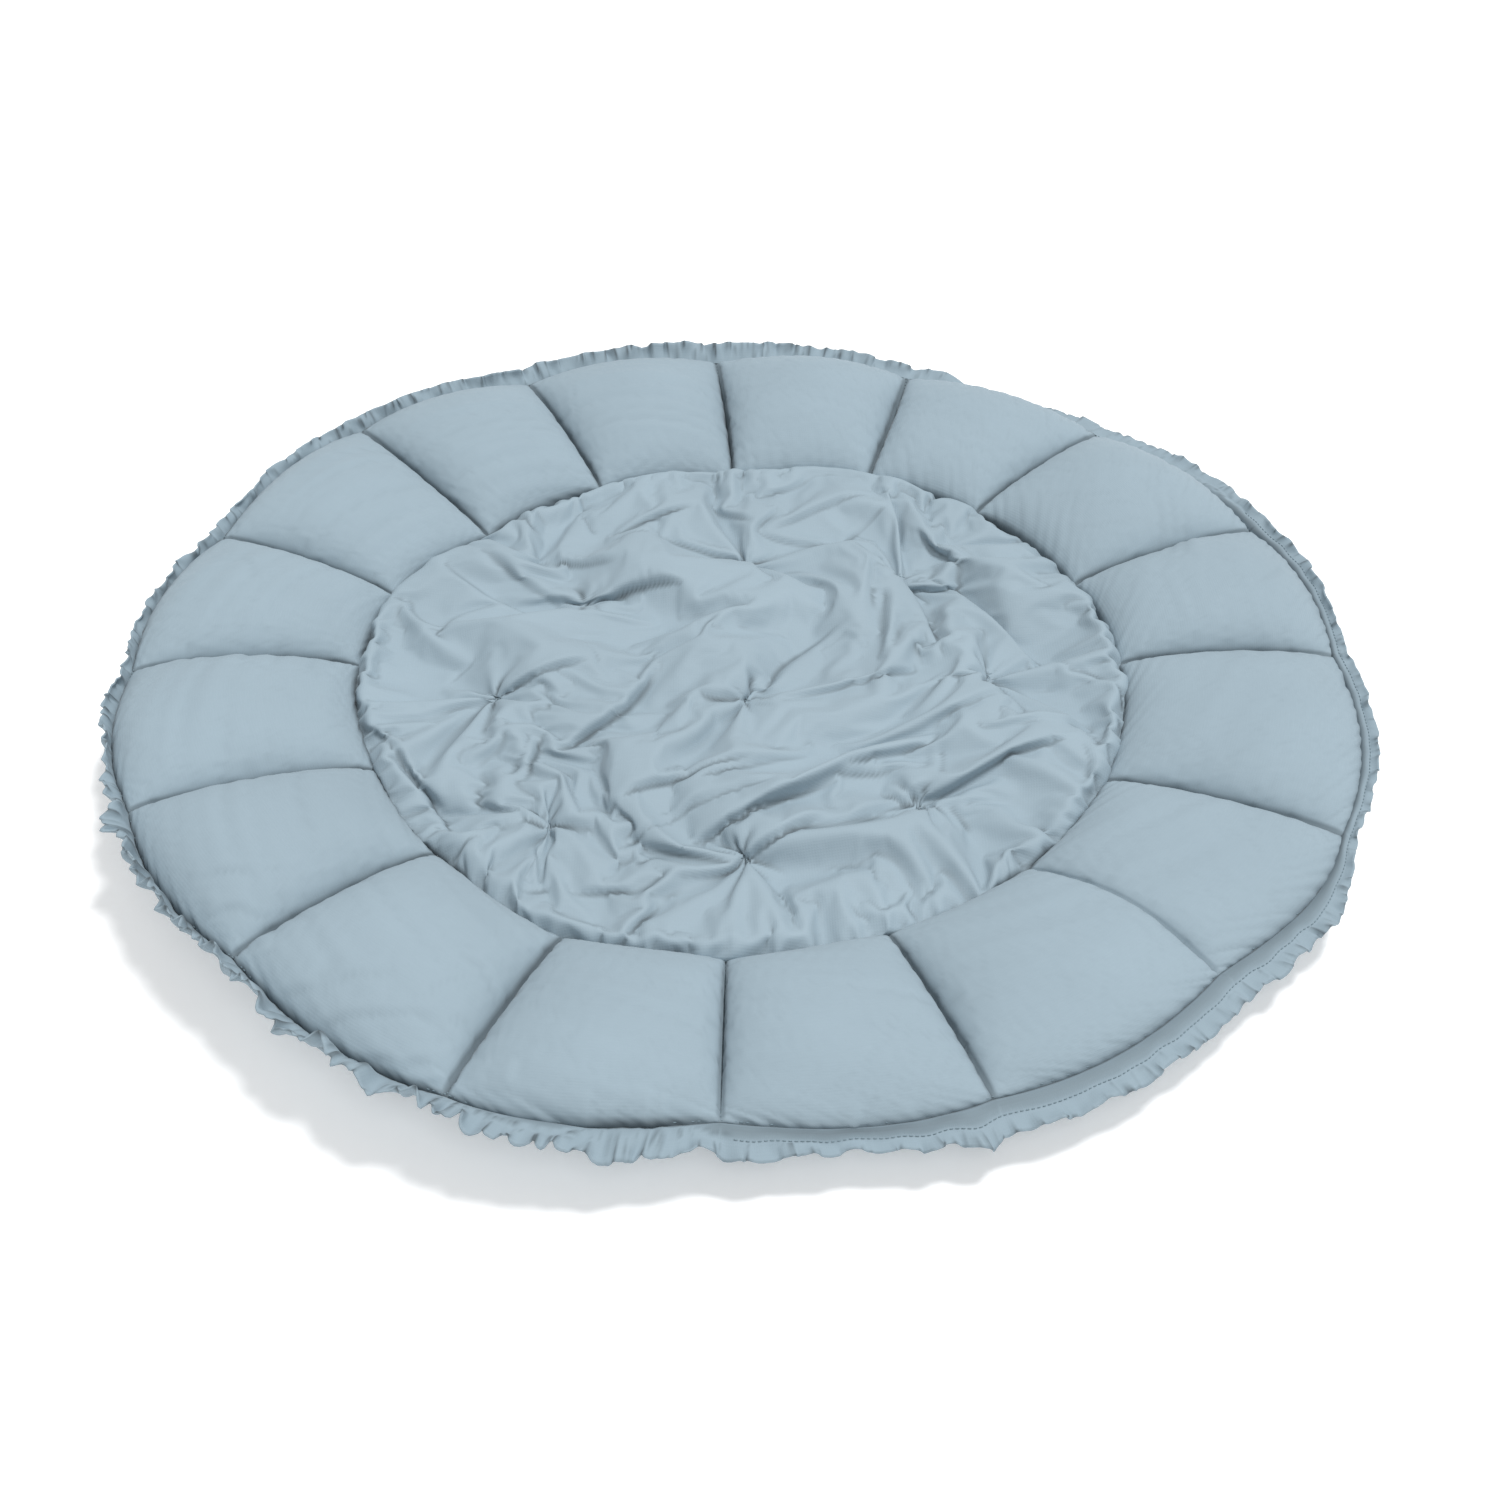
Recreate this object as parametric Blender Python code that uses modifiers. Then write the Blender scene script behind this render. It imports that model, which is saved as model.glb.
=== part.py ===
"""Round padded play mat: a ring of stitched channels, a tied-down middle and a gathered ruffle."""

import collections
import math

import bmesh
import bpy

# Azimuths are in degrees, clockwise from the back of the mat as seen from above. Lengths are in metres.

# Ring of filled channels
CHANNELS = 16
PITCH = 360 / CHANNELS
RIM_RADIUS = 0.515
PANEL_RADIUS = 0.326
PANEL_SEAM_HEIGHT = 0.024
RIM_BULGE = 0.006
SEAM_SAG = 0.010
WEB = 0.008
CROWN = 0.046
BELLY = 0.052
BELLY_ROLL_POWER = 3
RIM_POWER = 0.68
PANEL_POWER = 0.55
ACROSS_POWER = 0.36
ACROSS_STEPS = (0.0, 0.04, 0.14, 0.30, 0.5, 0.70, 0.86, 0.96)
TOP_STEPS = 12
BOTTOM_STEPS = 8

# Middle
MIDDLE_GRID = 38
MIDDLE_RISE = 0.019
MIDDLE_RIM_POWER = 0.34
MIDDLE_DRAWN_IN = 0.014
MIDDLE_HOLD_POWER = 8
MIDDLE_EDGE_ANGLE = 50
TIE_DEPTH = 0.021
TIE_SPREAD = 0.034

# Ruffle
RUFFLE_THICKNESS = 0.0026
GATHERS = 72
STATIONS_PER_CHANNEL = 18
RUFFLE_STEPS = (0.0, 0.30, 0.55, 1.0)
ROLL_WIDTH = 0.55
ROLL_PUFF = 0.004
GATHER_HEIGHT = 0.0045
GATHER_LEAN = 0.0040
FREE_EDGE_POWER = 1.3
SCALLOP = 0.07
SCALLOP_LAG = 0.8
MERGE_DISTANCE = 1e-6

# Gaps between sewn pieces
SEW_GAP = 0.0006
PANEL_SEW_GAP = 0.0008

# Middle of the mat's box, measured from the middle of the centre panel
BOX_MIDDLE_X = 0.0067
BOX_MIDDLE_Y = -0.0023

# One row for each radial seam, from the back, clockwise. The turns and shifts are what the sewn seam
# strays from an even star, and depth is how far it pinches the pad halfway along. The last two are for
# the channel after it: its fill, and how far its underside stands out past the rim seam.
Seam = collections.namedtuple(
    "Seam", "rim_turn rim_shift rim_height panel_turn panel_shift depth fill belly"
)
SEAMS = (
    Seam(-2.4, -0.010, 0.042, -0.5, -0.012, 1.00, 1.00, 0.000),
    Seam(-2.8, -0.004, 0.038, -0.5, 0.012, 1.00, 0.92, 0.000),
    Seam(-1.9, 0.002, 0.036, -3.8, 0.017, 1.00, 0.98, 0.000),
    Seam(-1.7, 0.008, 0.036, -2.6, 0.012, 1.00, 0.98, 0.000),
    Seam(-3.0, 0.004, 0.034, -4.8, 0.008, 0.95, 0.98, 0.000),
    Seam(-0.2, 0.008, 0.030, 0.1, 0.002, 0.95, 0.94, 0.000),
    Seam(-0.7, -0.010, 0.032, 0.0, 0.001, 0.35, 0.94, 0.000),
    Seam(1.5, -0.003, 0.036, 1.3, 0.001, 0.95, 0.98, 0.002),
    Seam(0.8, -0.012, 0.040, 0.8, 0.006, 0.80, 1.00, 0.004),
    Seam(-0.3, 0.010, 0.048, 0.1, 0.008, 1.00, 1.04, 0.002),
    Seam(0.7, -0.002, 0.054, 2.5, -0.008, 1.00, 1.04, -0.026),
    Seam(0.1, 0.000, 0.054, 1.4, -0.011, 1.00, 1.00, -0.026),
    Seam(-1.2, -0.004, 0.048, 4.4, -0.001, 1.00, 0.98, -0.012),
    Seam(-0.3, -0.008, 0.044, -0.1, 0.003, 1.00, 1.00, 0.000),
    Seam(0.8, 0.009, 0.042, -1.3, -0.009, 1.00, 1.02, 0.000),
    Seam(-1.9, -0.008, 0.042, -0.8, -0.002, 1.00, 1.00, 0.000),
)

# Where the middle is tied down
Tie = collections.namedtuple("Tie", "x y")
TIES = (
    Tie(0.010, -0.018),
    Tie(0.010, 0.182),
    Tie(0.152, 0.149),
    Tie(0.215, 0.008),
    Tie(0.150, -0.152),
    Tie(0.009, -0.213),
    Tie(-0.148, -0.171),
    Tie(-0.201, -0.017),
    Tie(-0.133, 0.117),
)

# Main folds of the middle's loose top cloth: a straight run from start to end, a ridge where rise is
# positive and a trough where it is negative
Fold = collections.namedtuple("Fold", "start_x start_y end_x end_y rise width")
FOLDS = (
    Fold(-0.199, -0.033, -0.128, 0.025, -0.008, 0.020),
    Fold(-0.131, 0.096, -0.051, 0.127, 0.007, 0.022),
    Fold(-0.062, 0.202, 0.011, 0.165, -0.007, 0.020),
    Fold(-0.094, -0.158, 0.067, -0.083, -0.009, 0.021),
    Fold(-0.110, -0.120, 0.050, -0.052, 0.007, 0.027),
    Fold(0.010, -0.205, 0.100, -0.165, 0.009, 0.022),
    Fold(0.088, -0.167, 0.201, -0.124, 0.008, 0.025),
    Fold(0.053, -0.193, 0.160, -0.126, -0.007, 0.018),
    Fold(-0.046, -0.015, 0.039, -0.033, -0.007, 0.020),
    Fold(0.043, -0.015, 0.134, 0.019, -0.008, 0.022),
    Fold(-0.076, 0.007, -0.128, -0.092, -0.007, 0.027),
    Fold(0.048, 0.033, 0.100, 0.041, 0.006, 0.022),
    Fold(0.114, 0.175, 0.127, 0.055, 0.006, 0.022),
    Fold(0.192, 0.142, 0.280, 0.015, -0.010, 0.022),
    Fold(0.172, 0.228, 0.206, 0.172, -0.008, 0.019),
    Fold(-0.030, 0.060, 0.045, 0.070, 0.008, 0.043),
)

# How the ruffle stands around the rim: lean is 0 where it lies flat outwards and 90 where it stands up
Lean = collections.namedtuple("Lean", "azimuth lean width")
LEANS = (
    Lean(0, 36, 0.025),
    Lean(18, 26, 0.022),
    Lean(30, -20, 0.018),
    Lean(44, -5, 0.022),
    Lean(56, 20, 0.022),
    Lean(70, 50, 0.022),
    Lean(90, 78, 0.018),
    Lean(106, 40, 0.022),
    Lean(120, 12, 0.026),
    Lean(135, 4, 0.026),
    Lean(160, -4, 0.034),
    Lean(170, -8, 0.019),
    Lean(179, 0, 0.029),
    Lean(188, 12, 0.033),
    Lean(200, 50, 0.032),
    Lean(215, 66, 0.028),
    Lean(228, 58, 0.028),
    Lean(240, 64, 0.026),
    Lean(256, 72, 0.023),
    Lean(276, 78, 0.016),
    Lean(305, 70, 0.018),
    Lean(335, 50, 0.021),
)

# Slow waves that keep the gathers uneven: cycles round the mat, size, and where each starts in radians
Wave = collections.namedtuple("Wave", "cycles size start")
GATHER_STRAY = (Wave(7, 0.9, 1.0), Wave(11, 0.6, 2.3))
GATHER_STRENGTH = (Wave(5, 0.30, 0.7), Wave(13, 0.25, 0.0))
GATHER_WIDTH = (Wave(9, 0.05, 0.0),)

# Linear colours of the one washed cotton, a little apart so that the pieces can be told apart
CLOTH_COLOURS = {
    "ring_pad": (0.34, 0.45, 0.52, 1.0),
    "centre_pad": (0.33, 0.44, 0.51, 1.0),
    "ruffle": (0.30, 0.42, 0.49, 1.0),
}
CLOTH_ROUGHNESS = 0.85


def mix(low, high, share):
    return low + (high - low) * share


def bump(share):
    """0 at both ends, 1 halfway."""
    return 4 * share * (1 - share)


def ease(share):
    """0 to 1 with a level start and end."""
    return share * share * (3 - 2 * share)


def between_seams(channel, across, column):
    """A column of the seam table, read between the channel's own seam and the next one."""
    here = getattr(SEAMS[channel % CHANNELS], column)
    after = getattr(SEAMS[(channel + 1) % CHANNELS], column)
    return mix(here, after, across)


def ring_azimuth(channel, across, outward):
    turn = mix(
        between_seams(channel, across, "panel_turn"),
        between_seams(channel, across, "rim_turn"),
        outward,
    )
    return PITCH * (channel + across) + turn


def panel_radius(channel, across):
    return PANEL_RADIUS + between_seams(channel, ease(across), "panel_shift")


def rim_radius(channel, across):
    bulge = RIM_BULGE * math.sin(math.pi * across)
    return RIM_RADIUS + between_seams(channel, ease(across), "rim_shift") + bulge


def plan(azimuth, radius):
    """Where an azimuth and a radius lie in X and Y."""
    angle = math.radians(azimuth)
    return radius * math.sin(angle), radius * math.cos(angle)


def pinch(channel, across, outward):
    """How far the nearer seam holds the channel down, 1 being all the way."""
    nearer = channel if across < 0.5 else channel + 1
    depth = SEAMS[nearer % CHANNELS].depth
    return mix(depth, 1.0, (2 * outward - 1) ** 2)


def fullness(channel, across, outward):
    """0 on the seams round a channel, 1 at its crown."""
    side = bump(across) ** ACROSS_POWER
    side = 1 - (1 - side) * pinch(channel, across, outward)
    return side * bump(outward) ** mix(PANEL_POWER, RIM_POWER, outward)


def seam_height(channel, across, outward):
    """Height of the stitched line, or of the level that it would have inside a channel."""
    rim = between_seams(channel, across, "rim_height")
    return mix(PANEL_SEAM_HEIGHT, rim, outward) - SEAM_SAG * bump(outward)


def belly_roll(channel, across):
    """How far the underside stands out past the rim seam, or lies within it where this is negative."""
    return SEAMS[channel % CHANNELS].belly * bump(across) ** ACROSS_POWER


def ring_point(channel, across, outward, side):
    """A point of the ring's skin. side is 1 on top, -1 below and 0 on an edge seam."""
    radius = mix(panel_radius(channel, across), rim_radius(channel, across), outward)
    if side < 0:
        radius += belly_roll(channel, across) * outward**BELLY_ROLL_POWER
    x, y = plan(ring_azimuth(channel, across, outward), radius)
    seam = seam_height(channel, across, outward)
    full = fullness(channel, across, outward)
    if side > 0:
        fill = SEAMS[channel % CHANNELS].fill
        z = seam + WEB / 2 + CROWN * fill * full
    elif side < 0:
        z = max(0.0, seam - WEB / 2 - BELLY * full)
    else:
        z = seam
    return x, y, z


def around_section(step):
    """Outward share and side of a point of the ring's section, from the rim seam over the top and back."""
    if step <= TOP_STEPS:
        share = step / TOP_STEPS
        side = 1 if 0 < step < TOP_STEPS else 0
    else:
        share = 1 - (step - TOP_STEPS) / BOTTOM_STEPS
        side = -1
    return (1 + math.cos(math.pi * share)) / 2, side


def mesh_object(name, mesh, collection, parent):
    material = bpy.data.materials.new(name + "_cloth")
    material.use_nodes = True
    shader = material.node_tree.nodes["Principled BSDF"]
    shader.inputs["Base Color"].default_value = CLOTH_COLOURS[name]
    shader.inputs["Roughness"].default_value = CLOTH_ROUGHNESS
    shader.inputs["Metallic"].default_value = 0.0
    mesh.materials.clear()
    mesh.materials.append(material)
    mesh.name = name
    mesh.shade_smooth()
    made = bpy.data.objects.new(name, mesh)
    made.parent = parent
    collection.objects.link(made)
    return made


def torus_mesh(stations, sides):
    """A torus primitive's mesh. Its points run round the section first, from the outermost one upwards."""
    bpy.ops.mesh.primitive_torus_add(major_segments=stations, minor_segments=sides)
    made = bpy.context.object
    mesh = made.data
    bpy.data.objects.remove(made)
    return mesh


def build_ring(collection, parent):
    """The filled ring: a torus whose points are drawn to the channels and the seams between them.

    The channels run clockwise where the torus runs the other way, so its faces are turned round."""
    columns = len(ACROSS_STEPS)
    sides = TOP_STEPS + BOTTOM_STEPS
    mesh = torus_mesh(CHANNELS * columns, sides)
    ring = bmesh.new()
    ring.from_mesh(mesh)
    ring.verts.ensure_lookup_table()
    for index, vertex in enumerate(ring.verts):
        station, step = divmod(index, sides)
        channel, column = divmod(station, columns)
        outward, side = around_section(step)
        vertex.co = ring_point(channel, ACROSS_STEPS[column], outward, side)
    bmesh.ops.reverse_faces(ring, faces=ring.faces)
    ring.to_mesh(mesh)
    ring.free()
    return mesh_object("ring_pad", mesh, collection, parent)


def disc_share(a, b):
    """A point of a square from -1 to 1 as an azimuth and a share of a disc's radius, evenly spaced."""
    if abs(a) >= abs(b):
        radius = a
        angle = math.pi / 4 * b / a if a else 0.0
    else:
        radius = b
        angle = math.pi / 2 - math.pi / 4 * a / b
    if radius < 0:
        angle += math.pi
    return (90 - math.degrees(angle)) % 360, abs(radius)


def panel_edge(azimuth):
    """Radius of the inner seam at an azimuth, by the channel whose two seams lie either side of it."""
    for channel in range(CHANNELS):
        start = ring_azimuth(channel, 0, 0)
        end = ring_azimuth(channel, 1, 0)
        across = ((azimuth - start) % 360) / (end - start)
        if across <= 1:
            return panel_radius(channel, across)
    raise ValueError(azimuth)


def fold_rise(x, y, fold):
    """What one fold adds at a point: a soft ridge or trough that fades to its ends."""
    run_x = fold.end_x - fold.start_x
    run_y = fold.end_y - fold.start_y
    length = math.hypot(run_x, run_y)
    along = ((x - fold.start_x) * run_x + (y - fold.start_y) * run_y) / length**2
    off_line = abs((x - fold.start_x) * run_y - (y - fold.start_y) * run_x) / length
    beyond = max(0.0, -along, along - 1) * length
    return fold.rise * math.exp(-((off_line**2 + beyond**2) / fold.width**2))


def middle_height(x, y, share):
    rise = MIDDLE_RISE * max(0.0, 1 - share**2) ** MIDDLE_RIM_POWER
    ties = sum(
        math.exp(-((x - tie.x) ** 2 + (y - tie.y) ** 2) / TIE_SPREAD**2) for tie in TIES
    )
    folds = sum(fold_rise(x, y, fold) for fold in FOLDS)
    inside = 1 - share**MIDDLE_HOLD_POWER
    return PANEL_SEAM_HEIGHT + rise + inside * (folds - TIE_DEPTH * min(ties, 1.0))


def build_middle(collection, parent):
    """The light pad inside the ring: a grid drawn to a disc on top, let down to a flat underside."""
    pad = bmesh.new()
    bmesh.ops.create_grid(
        pad, x_segments=MIDDLE_GRID, y_segments=MIDDLE_GRID, size=1.0
    )
    top = list(pad.verts)
    lowered = bmesh.ops.extrude_face_region(
        pad, geom=list(pad.faces), use_keep_orig=True
    )
    bottom = [item for item in lowered["geom"] if isinstance(item, bmesh.types.BMVert)]
    for vertex in top:
        azimuth, share = disc_share(vertex.co.x, vertex.co.y)
        x, y = plan(azimuth, share * (panel_edge(azimuth) - PANEL_SEW_GAP))
        vertex.co = x, y, middle_height(x, y, share)
    for vertex in bottom:
        azimuth, share = disc_share(vertex.co.x, vertex.co.y)
        x, y = plan(azimuth, share * (panel_edge(azimuth) - MIDDLE_DRAWN_IN))
        vertex.co = x, y, 0.0
    bmesh.ops.recalc_face_normals(pad, faces=pad.faces)
    mesh = bpy.data.meshes.new("centre_pad")
    pad.to_mesh(mesh)
    pad.free()
    middle = mesh_object("centre_pad", mesh, collection, parent)
    middle.data.set_sharp_from_angle(angle=math.radians(MIDDLE_EDGE_ANGLE))
    return middle


def ruffle_stance(azimuth):
    """Lean in degrees and width of the ruffle at an azimuth, eased between the rows of its table."""
    azimuth %= 360
    rows = LEANS + (LEANS[0]._replace(azimuth=360),)
    for here, after in zip(rows, rows[1:]):
        if azimuth <= after.azimuth:
            share = ease((azimuth - here.azimuth) / (after.azimuth - here.azimuth))
            return mix(here.lean, after.lean, share), mix(here.width, after.width, share)
    raise ValueError(azimuth)


def waves(table, angle):
    return sum(wave.size * math.sin(wave.cycles * angle + wave.start) for wave in table)


def gather_wave(turn):
    """Uneven waves of the gathered edge at a share of the whole turn.

    Returns their height, slide along the rim, share of the strip's width, and strength."""
    angle = 2 * math.pi * turn
    phase = GATHERS * angle + waves(GATHER_STRAY, angle)
    strength = 1 + waves(GATHER_STRENGTH, angle)
    scallop = 1 + SCALLOP * math.sin(phase + SCALLOP_LAG) + waves(GATHER_WIDTH, angle)
    return strength * math.sin(phase), strength * math.cos(phase), scallop, strength


def ruffle_point(channel, across, share):
    """A point of the ruffle's middle surface. share is 0 at the rim seam and 1 at the free edge."""
    azimuth = ring_azimuth(channel, across, 1)
    lean, width = ruffle_stance(azimuth)
    slope = math.radians(lean)
    height, sideways, scallop, strength = gather_wave((channel + across) / CHANNELS)
    stands = abs(math.sin(slope))
    root = rim_radius(channel, across) + SEW_GAP + RUFFLE_THICKNESS / 2 * stands
    puff = ROLL_PUFF * bump(share / ROLL_WIDTH) if share < ROLL_WIDTH else 0.0
    free = share**FREE_EDGE_POWER
    clear_of_ring = height - strength * stands
    off_strip = puff * (1 - stands) + GATHER_HEIGHT * free * clear_of_ring
    reach = width * share * scallop
    radius = root + reach * math.cos(slope) - off_strip * math.sin(slope)
    z = seam_height(channel, across, 1) + reach * math.sin(slope) + off_strip * math.cos(slope)
    slide = math.degrees(GATHER_LEAN * sideways * free / root)
    x, y = plan(azimuth + slide, radius)
    return x, y, z


def build_ruffle(collection, parent):
    """The gathered strip: a long grid closed into a loop along the rim, then given its thickness."""
    stations = CHANNELS * STATIONS_PER_CHANNEL
    rows = len(RUFFLE_STEPS)
    strip = bmesh.new()
    bmesh.ops.create_grid(strip, x_segments=stations, y_segments=rows - 1, size=0.5)
    for vertex in strip.verts:
        station = round((vertex.co.x + 0.5) * stations) % stations
        row = round((vertex.co.y + 0.5) * (rows - 1))
        channel, step = divmod(station, STATIONS_PER_CHANNEL)
        vertex.co = ruffle_point(channel, step / STATIONS_PER_CHANNEL, RUFFLE_STEPS[row])
    bmesh.ops.remove_doubles(strip, verts=strip.verts, dist=MERGE_DISTANCE)
    bmesh.ops.recalc_face_normals(strip, faces=strip.faces)
    mesh = bpy.data.meshes.new("ruffle")
    strip.to_mesh(mesh)
    strip.free()
    ruffle = mesh_object("ruffle", mesh, collection, parent)
    doubled = ruffle.modifiers.new("doubled_cloth", "SOLIDIFY")
    doubled.thickness = RUFFLE_THICKNESS
    doubled.offset = 0.0
    return ruffle


def main():
    for old in list(bpy.data.objects):
        bpy.data.objects.remove(old)
    collection = bpy.data.collections.new("play_mat")
    bpy.context.scene.collection.children.link(collection)
    middle = bpy.data.objects.new("panel_middle", None)
    middle.location = (-BOX_MIDDLE_X, -BOX_MIDDLE_Y, 0.0)
    collection.objects.link(middle)
    build_ring(collection, middle)
    build_middle(collection, middle)
    build_ruffle(collection, middle)
    bpy.context.view_layer.update()


main()
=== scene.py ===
"""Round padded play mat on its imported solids: filled ring, creased middle, gathered ruffle, thread."""

import collections
import math

import bmesh
import bpy
import numpy as np
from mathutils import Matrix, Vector, noise


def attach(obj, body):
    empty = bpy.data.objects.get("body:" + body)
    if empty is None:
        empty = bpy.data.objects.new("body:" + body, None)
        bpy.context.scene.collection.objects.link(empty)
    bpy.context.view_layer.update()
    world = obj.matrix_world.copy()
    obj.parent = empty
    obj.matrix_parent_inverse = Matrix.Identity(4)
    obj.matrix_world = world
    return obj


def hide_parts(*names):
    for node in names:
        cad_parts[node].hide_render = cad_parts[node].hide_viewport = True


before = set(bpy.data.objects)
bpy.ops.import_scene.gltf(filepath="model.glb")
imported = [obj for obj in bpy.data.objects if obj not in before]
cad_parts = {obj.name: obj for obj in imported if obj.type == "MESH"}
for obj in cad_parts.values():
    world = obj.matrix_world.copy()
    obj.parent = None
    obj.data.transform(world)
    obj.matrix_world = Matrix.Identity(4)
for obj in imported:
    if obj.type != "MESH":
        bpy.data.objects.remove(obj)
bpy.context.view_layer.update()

# Azimuths are in degrees, clockwise from the back of the mat as seen from above. Lengths are in metres.

# The middle of the centre panel, measured from the middle of the mat's box
PANEL_X = -0.0067
PANEL_Y = 0.0023

# Ring of filled channels, as its solid has them
CHANNELS = 16
PITCH = 360 / CHANNELS
RIM_RADIUS = 0.515
PANEL_RADIUS = 0.326
PANEL_SEAM_HEIGHT = 0.024
RIM_BULGE = 0.006
SEAM_SAG = 0.010
WEB = 0.004
CROWN = 0.048
BELLY = 0.052
BELLY_ROLL_POWER = 3
RIM_POWER = 0.68
PANEL_POWER = 0.55
ACROSS_POWER = 0.32

# How finely the ring is cut: columns over a channel, rows from rim to panel on top and back below
RING_COLUMNS = 60
RING_TOP_ROWS = 54
RING_BELOW_ROWS = 18
COLUMN_CROWDING = 0.35
RING_SOFT_HOLD = 0.3
RING_GROWTH = 0.006
RING_BENDING = 3.0
RING_FRAMES = 8
RING_CAP = 0.003
RING_BELOW_HOLD = 0.5
LUMP_RISE = 0.0022
LUMP_ALONG = 0.07
LUMP_DEEP = 0.06
LUMP_SEED = 9.3

# Small gathers beside a sewn line: how tall, how far from it they fade, how long each is along it, how
# slowly they change away from it, and a seed
Gather = collections.namedtuple("Gather", "rise fade length reach seed")
RIM_GATHERS = Gather(0.0016, 0.012, 0.008, 0.05, 1.7)
PANEL_GATHERS = Gather(0.0014, 0.014, 0.009, 0.05, 5.1)
SEAM_GATHERS = Gather(0.0009, 0.012, 0.010, 0.05, 0.0)
SEAM_GATHERS_DRIFT = 0.3

Seam = collections.namedtuple(
    "Seam", "rim_turn rim_shift rim_height panel_turn panel_shift depth fill belly"
)
SEAMS = (
    Seam(-2.4, -0.010, 0.042, -0.5, -0.012, 1.00, 1.00, 0.000),
    Seam(-2.8, -0.004, 0.038, -0.5, 0.012, 1.00, 0.92, 0.000),
    Seam(-1.9, 0.002, 0.036, -3.8, 0.017, 1.00, 0.98, 0.000),
    Seam(-1.7, 0.008, 0.036, -2.6, 0.012, 1.00, 0.98, 0.000),
    Seam(-3.0, 0.004, 0.034, -4.8, 0.008, 0.95, 0.98, 0.000),
    Seam(-0.2, 0.008, 0.030, 0.1, 0.002, 0.95, 0.94, 0.000),
    Seam(-0.7, -0.010, 0.032, 0.0, 0.001, 0.35, 0.94, 0.000),
    Seam(1.5, -0.003, 0.036, 1.3, 0.001, 0.95, 0.98, 0.002),
    Seam(0.8, -0.012, 0.040, 0.8, 0.006, 0.80, 1.00, 0.004),
    Seam(-0.3, 0.010, 0.048, 0.1, 0.008, 1.00, 1.04, 0.002),
    Seam(0.7, -0.002, 0.054, 2.5, -0.008, 1.00, 1.04, -0.026),
    Seam(0.1, 0.000, 0.054, 1.4, -0.011, 1.00, 1.00, -0.026),
    Seam(-1.2, -0.004, 0.048, 4.4, -0.001, 1.00, 0.98, -0.012),
    Seam(-0.3, -0.008, 0.044, -0.1, 0.003, 1.00, 1.00, 0.000),
    Seam(0.8, 0.009, 0.042, -1.3, -0.009, 1.00, 1.02, 0.000),
    Seam(-1.9, -0.008, 0.042, -0.8, -0.002, 1.00, 1.00, 0.000),
)

# Middle: a top cloth cut larger than its opening, tied down at nine points
MIDDLE_GRID = 300
MIDDLE_RISE = 0.019
MIDDLE_RIM_POWER = 0.34
MIDDLE_DRAWN_IN = 0.014
MIDDLE_GAP = 0.0006
MIDDLE_SOFT_HOLD = 0.01
MIDDLE_GROWTH = 0.13
MIDDLE_BENDING = 16.0
MIDDLE_FRAMES = 14
MIDDLE_CAP = 0.015
MIDDLE_HOLD_POWER = 10
MIDDLE_SOFTENING = 2
SHORT_GATHERS = Gather(0.0026, 0.018, 0.011, 0.06, 3.3)
LONG_GATHERS = Gather(0.0030, 0.045, 0.026, 0.09, 7.7)
TIE_DEPTH = 0.012
TIE_SPREAD = 0.024
STAR_RISE = 0.0012
STAR_REACH = 0.012
STAR_SPREAD = 0.018

# Rays of the star round a tie: how many, how tall, and how far each tie's are turned from the last one's
Rays = collections.namedtuple("Rays", "count size turn")
STAR_RAYS = (Rays(7, 1.0, 2.1), Rays(11, 0.6, 1.3))

EDGE_ROLL = 0.004
EDGE_ROLL_PLACE = 0.016
EDGE_ROLL_SPREAD = 0.010
EDGE_STEPS = 40
SEAM_REACH = 0.003
SEWN_SHARE = 0.999
TIE_REACH = 0.003
UNDER_EDGE_ANGLE = 70
BROAD_SWELL = 0.005
SWELL_LENGTH = 0.085
SWELL_DEPTH = 0.060
SWELL_SEED = 6.6
CREASE_DRIFT = 0.02
DRIFT_LENGTH = 0.08
DRIFT_SEED = 2.2
CREASE_LENGTH = 0.050
CREASE_WIDTH = 0.028
CREASE_SLANT = 0.4
CREASE_SEED = 4.4
FINE_CREASE = 0.0006
FOLD_STRENGTH = 0.75
FOLD_FADE = 0.12
CREST_SOFT = 0.35
CREASE_DEPTH = 0.25
CREASE_SPREAD = 0.8

Tie = collections.namedtuple("Tie", "x y")
TIES = (
    Tie(0.010, -0.029),
    Tie(0.011, 0.168),
    Tie(0.148, 0.140),
    Tie(0.216, 0.001),
    Tie(0.149, -0.160),
    Tie(0.010, -0.223),
    Tie(-0.147, -0.183),
    Tie(-0.200, -0.024),
    Tie(-0.132, 0.105),
)

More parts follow.
